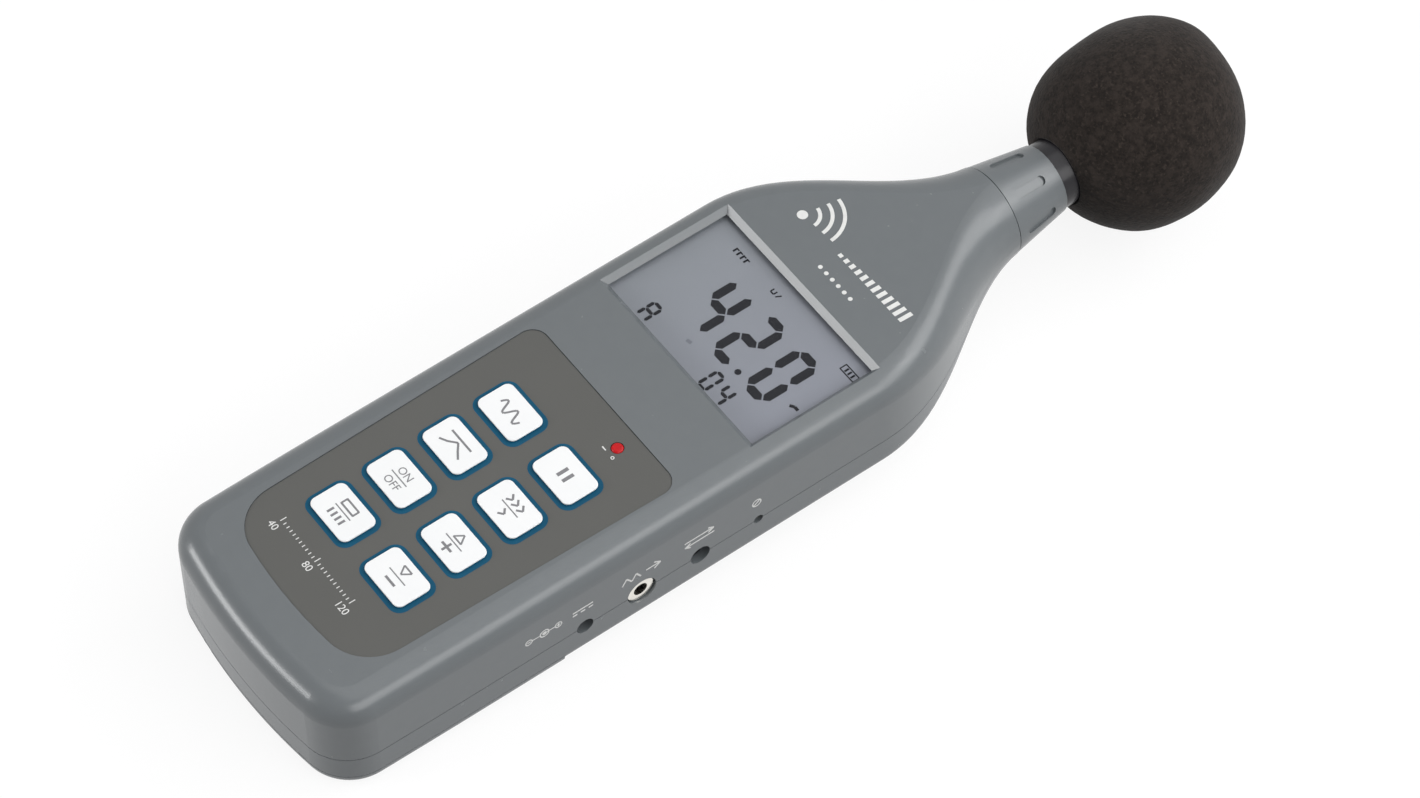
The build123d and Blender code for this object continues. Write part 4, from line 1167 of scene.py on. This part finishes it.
small = Drawing("display_signs", panel_top)
for index in range(4):
    x = -18.9 + index * 1.3
    small.bar(x, 57.2, x, 58.6, SIGN_THICK)
    small.bar(x, 58.4, -18.1 + index * 1.3, 58.4, SIGN_LINE)
small.path([(-5.0, 58.4), (-5.0, 57.3), (-3.9, 57.3), (-3.9, 58.4)], SIGN_LINE)
small.bar(-3.1, 57.2, -2.4, 58.5, SIGN_LINE)
small.ring(rounded(23.4, 57.9, 5.0, 2.1, 0.2), rounded(23.4, 57.9, 4.4, 1.5, 0.1))
small.bar(26.0, 57.4, 26.0, 58.4, SIGN_THICK)
for x in (22.3, 23.4, 24.5):
    small.bar(x, 57.3, x, 58.5, SIGN_THICK)
small.bar(22.4, 42.0, 23.4, 42.7, 0.8)
small.bar(23.4, 42.7, 24.6, 42.7, 0.8)
small.finish(segment_ink, "housing", "lcd_glass")
ghost = Drawing("display_ghost", panel_top)
ghost.bar(-5.4, 34.4, -4.0, 34.7, 0.9)
ghost.finish(faint_ink, "housing", "lcd_glass")
print("small signs are drawn", SIGN_LINE, "to", SIGN_THICK, "mm wide")

# %% [markdown]
# ### Shoulder: a drawing that follows the shell
#
# The shoulder slopes down towards the neck. A shrinkwrap modifier could lay a flat drawing on
# it, but dropping each point onto the front shell with a ray needs no second step.

# %% Draped drawing
SHELL = nodes["front_shell"]
CLEAR = 0.00004
RAY_START = 0.05


class Draped(Drawing):
    """A drawing that follows the front shell instead of a plane."""

    def place(self, x, y, rise=0.0):
        """Point on the shell under a point of the drawing in millimetres."""
        above = Vector((x * MILLIMETRE, y * MILLIMETRE, RAY_START))
        where = SHELL.ray_cast(above, Vector((0, 0, -1)))[1]
        return where + Vector((0, 0, CLEAR + rise))

    def arc(self, x, y, radius, width, start, stop, steps=16):
        """A stretch of ring, with its angles in degrees."""
        turns = [math.radians(start + (stop - start) * step / steps) for step in range(steps + 1)]
        near, far = radius - width / 2, radius + width / 2
        for first, second in zip(turns, turns[1:]):
            corners = [(near, first), (far, first), (far, second), (near, second)]
            self.shape([(x + r * math.cos(turn), y + r * math.sin(turn)) for r, turn in corners])


print("marks on the shoulder stand", CLEAR * 1000, "mm clear")

# %% [markdown]
# ### Shoulder: marks
#
# The real shoulder carries lettering. Here a picture of sound waves stands beside a row of
# rising level bars and some dots, which fill the same place and name nobody.

# %% Shoulder marks
SOURCE_X, SOURCE_Y = -16.0, 74.5
FIRST_BAR = -1.8

shoulder = Draped("shoulder_marks", (0, 0, 0))
shoulder.circle(SOURCE_X, SOURCE_Y, 1.3, steps=20)
for radius in (4.0, 6.8, 9.6):
    shoulder.arc(SOURCE_X, SOURCE_Y, radius, 0.9, 5, 85)
for index in range(12):
    x = FIRST_BAR + index * 2.0
    shoulder.bar(x, 74.0, x, 75.0 + 0.24 * index, 1.1)
for index in range(6):
    shoulder.circle(FIRST_BAR + index * 2.2, 68.8, 0.55, steps=16)
shoulder.finish(white_ink, "housing", "housing")

# %% [markdown]
# ### Scale on the overlay
#
# A plain scale with numbers runs across the lower end of the overlay, where the real one has
# lines of words. A dash and a small ring stand under the status lamp.

# %% Overlay scale
SCALE_LEFT, SCALE_STEP, NUMBER_STEP = -17.0, 1.2, 13.2
SCALE_FOOT, LONG_TOP, SHORT_TOP = -66.0, -64.4, -65.2
MARKS_PER_NUMBER = 11

scale = Drawing("overlay_scale", (0, 0, overlay_top))
for index in range(23):
    x = SCALE_LEFT + index * SCALE_STEP
    scale.bar(x, SCALE_FOOT, x, SHORT_TOP if index % MARKS_PER_NUMBER else LONG_TOP, 0.22)
for index, number in enumerate(("40", "80", "120")):
    scale.text(number, SCALE_LEFT + index * NUMBER_STEP, -67.8, 1.8)
scale.bar(8.6, 1.3, 9.9, 1.3, 0.3)
scale.circle(12.4, 1.3, 0.45, 0.2)
scale.finish(white_ink, "housing", "overlay_film")
print("scale starts", SCALE_LEFT, "mm from the middle")

# %% [markdown]
# ### Signs by the sockets
#
# Each socket of the real meter is labelled on the side wall. Pictograms stand there: contacts
# with their polarity and direct current, a wave with an outward arrow, two arrows for data
# and a slotted screw for the trimmer.

# %% Power signs
SIGN_STROKE = 0.42
THIN = 0.3
SINK = 0.00001
MIDDLE = 16.4
side_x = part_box("front_shell")[1].x

signs = Drawing("socket_signs", (side_x - SINK, 0, 0), across=(0, 1, 0), up=(0, 0, 1))
signs.circle(-36.6, MIDDLE, 1.0, THIN)
signs.bar(-37.1, MIDDLE, -36.1, MIDDLE, THIN)
signs.bar(-35.6, MIDDLE, -33.8, MIDDLE, THIN)
signs.circle(-32.5, MIDDLE, 1.3, 0.35)
signs.circle(-32.5, MIDDLE, 0.6)
signs.bar(-32.5, MIDDLE, -29.8, MIDDLE, THIN)
signs.circle(-28.8, MIDDLE, 1.0, THIN)
signs.bar(-29.3, MIDDLE, -28.3, MIDDLE, THIN)
signs.bar(-28.8, 15.9, -28.8, 16.9, THIN)
signs.bar(-25.0, 17.0, -19.6, 17.0, 0.45)
for y in (-24.4, -22.3, -20.2):
    signs.bar(y - 0.6, 15.9, y + 0.6, 15.9, 0.45)
print("signs lie", round(side_x * 1000, 2), "mm from the middle")

# %% [markdown]
# The output, data and trimmer signs go on the same drawing, so the wall keeps one piece.

# %% Output, data and trimmer signs
signs.path([(-11.8, 15.6), (-10.6, 17.6), (-9.2, 15.6), (-8.0, 17.6), (-6.8, 15.6)], SIGN_STROKE)
signs.bar(-5.4, 16.6, -1.6, 16.6, SIGN_STROKE)
signs.path([(-3.2, 17.8), (-1.5, 16.6), (-3.2, 15.4)], SIGN_STROKE)
signs.bar(5.0, 17.2, 12.8, 17.2, SIGN_STROKE)
signs.path([(11.4, 18.1), (12.9, 17.2), (11.4, 16.3)], SIGN_STROKE)
signs.bar(5.2, 15.6, 13.0, 15.6, SIGN_STROKE)
signs.path([(6.6, 16.4), (5.1, 15.6), (6.6, 14.7)], SIGN_STROKE)
signs.circle(24.6, 16.2, 1.3, 0.35)
signs.bar(23.7, 15.5, 25.5, 16.9, 0.4)
signs.finish(white_ink, "housing", "housing")
print("signs for four sockets and holes")
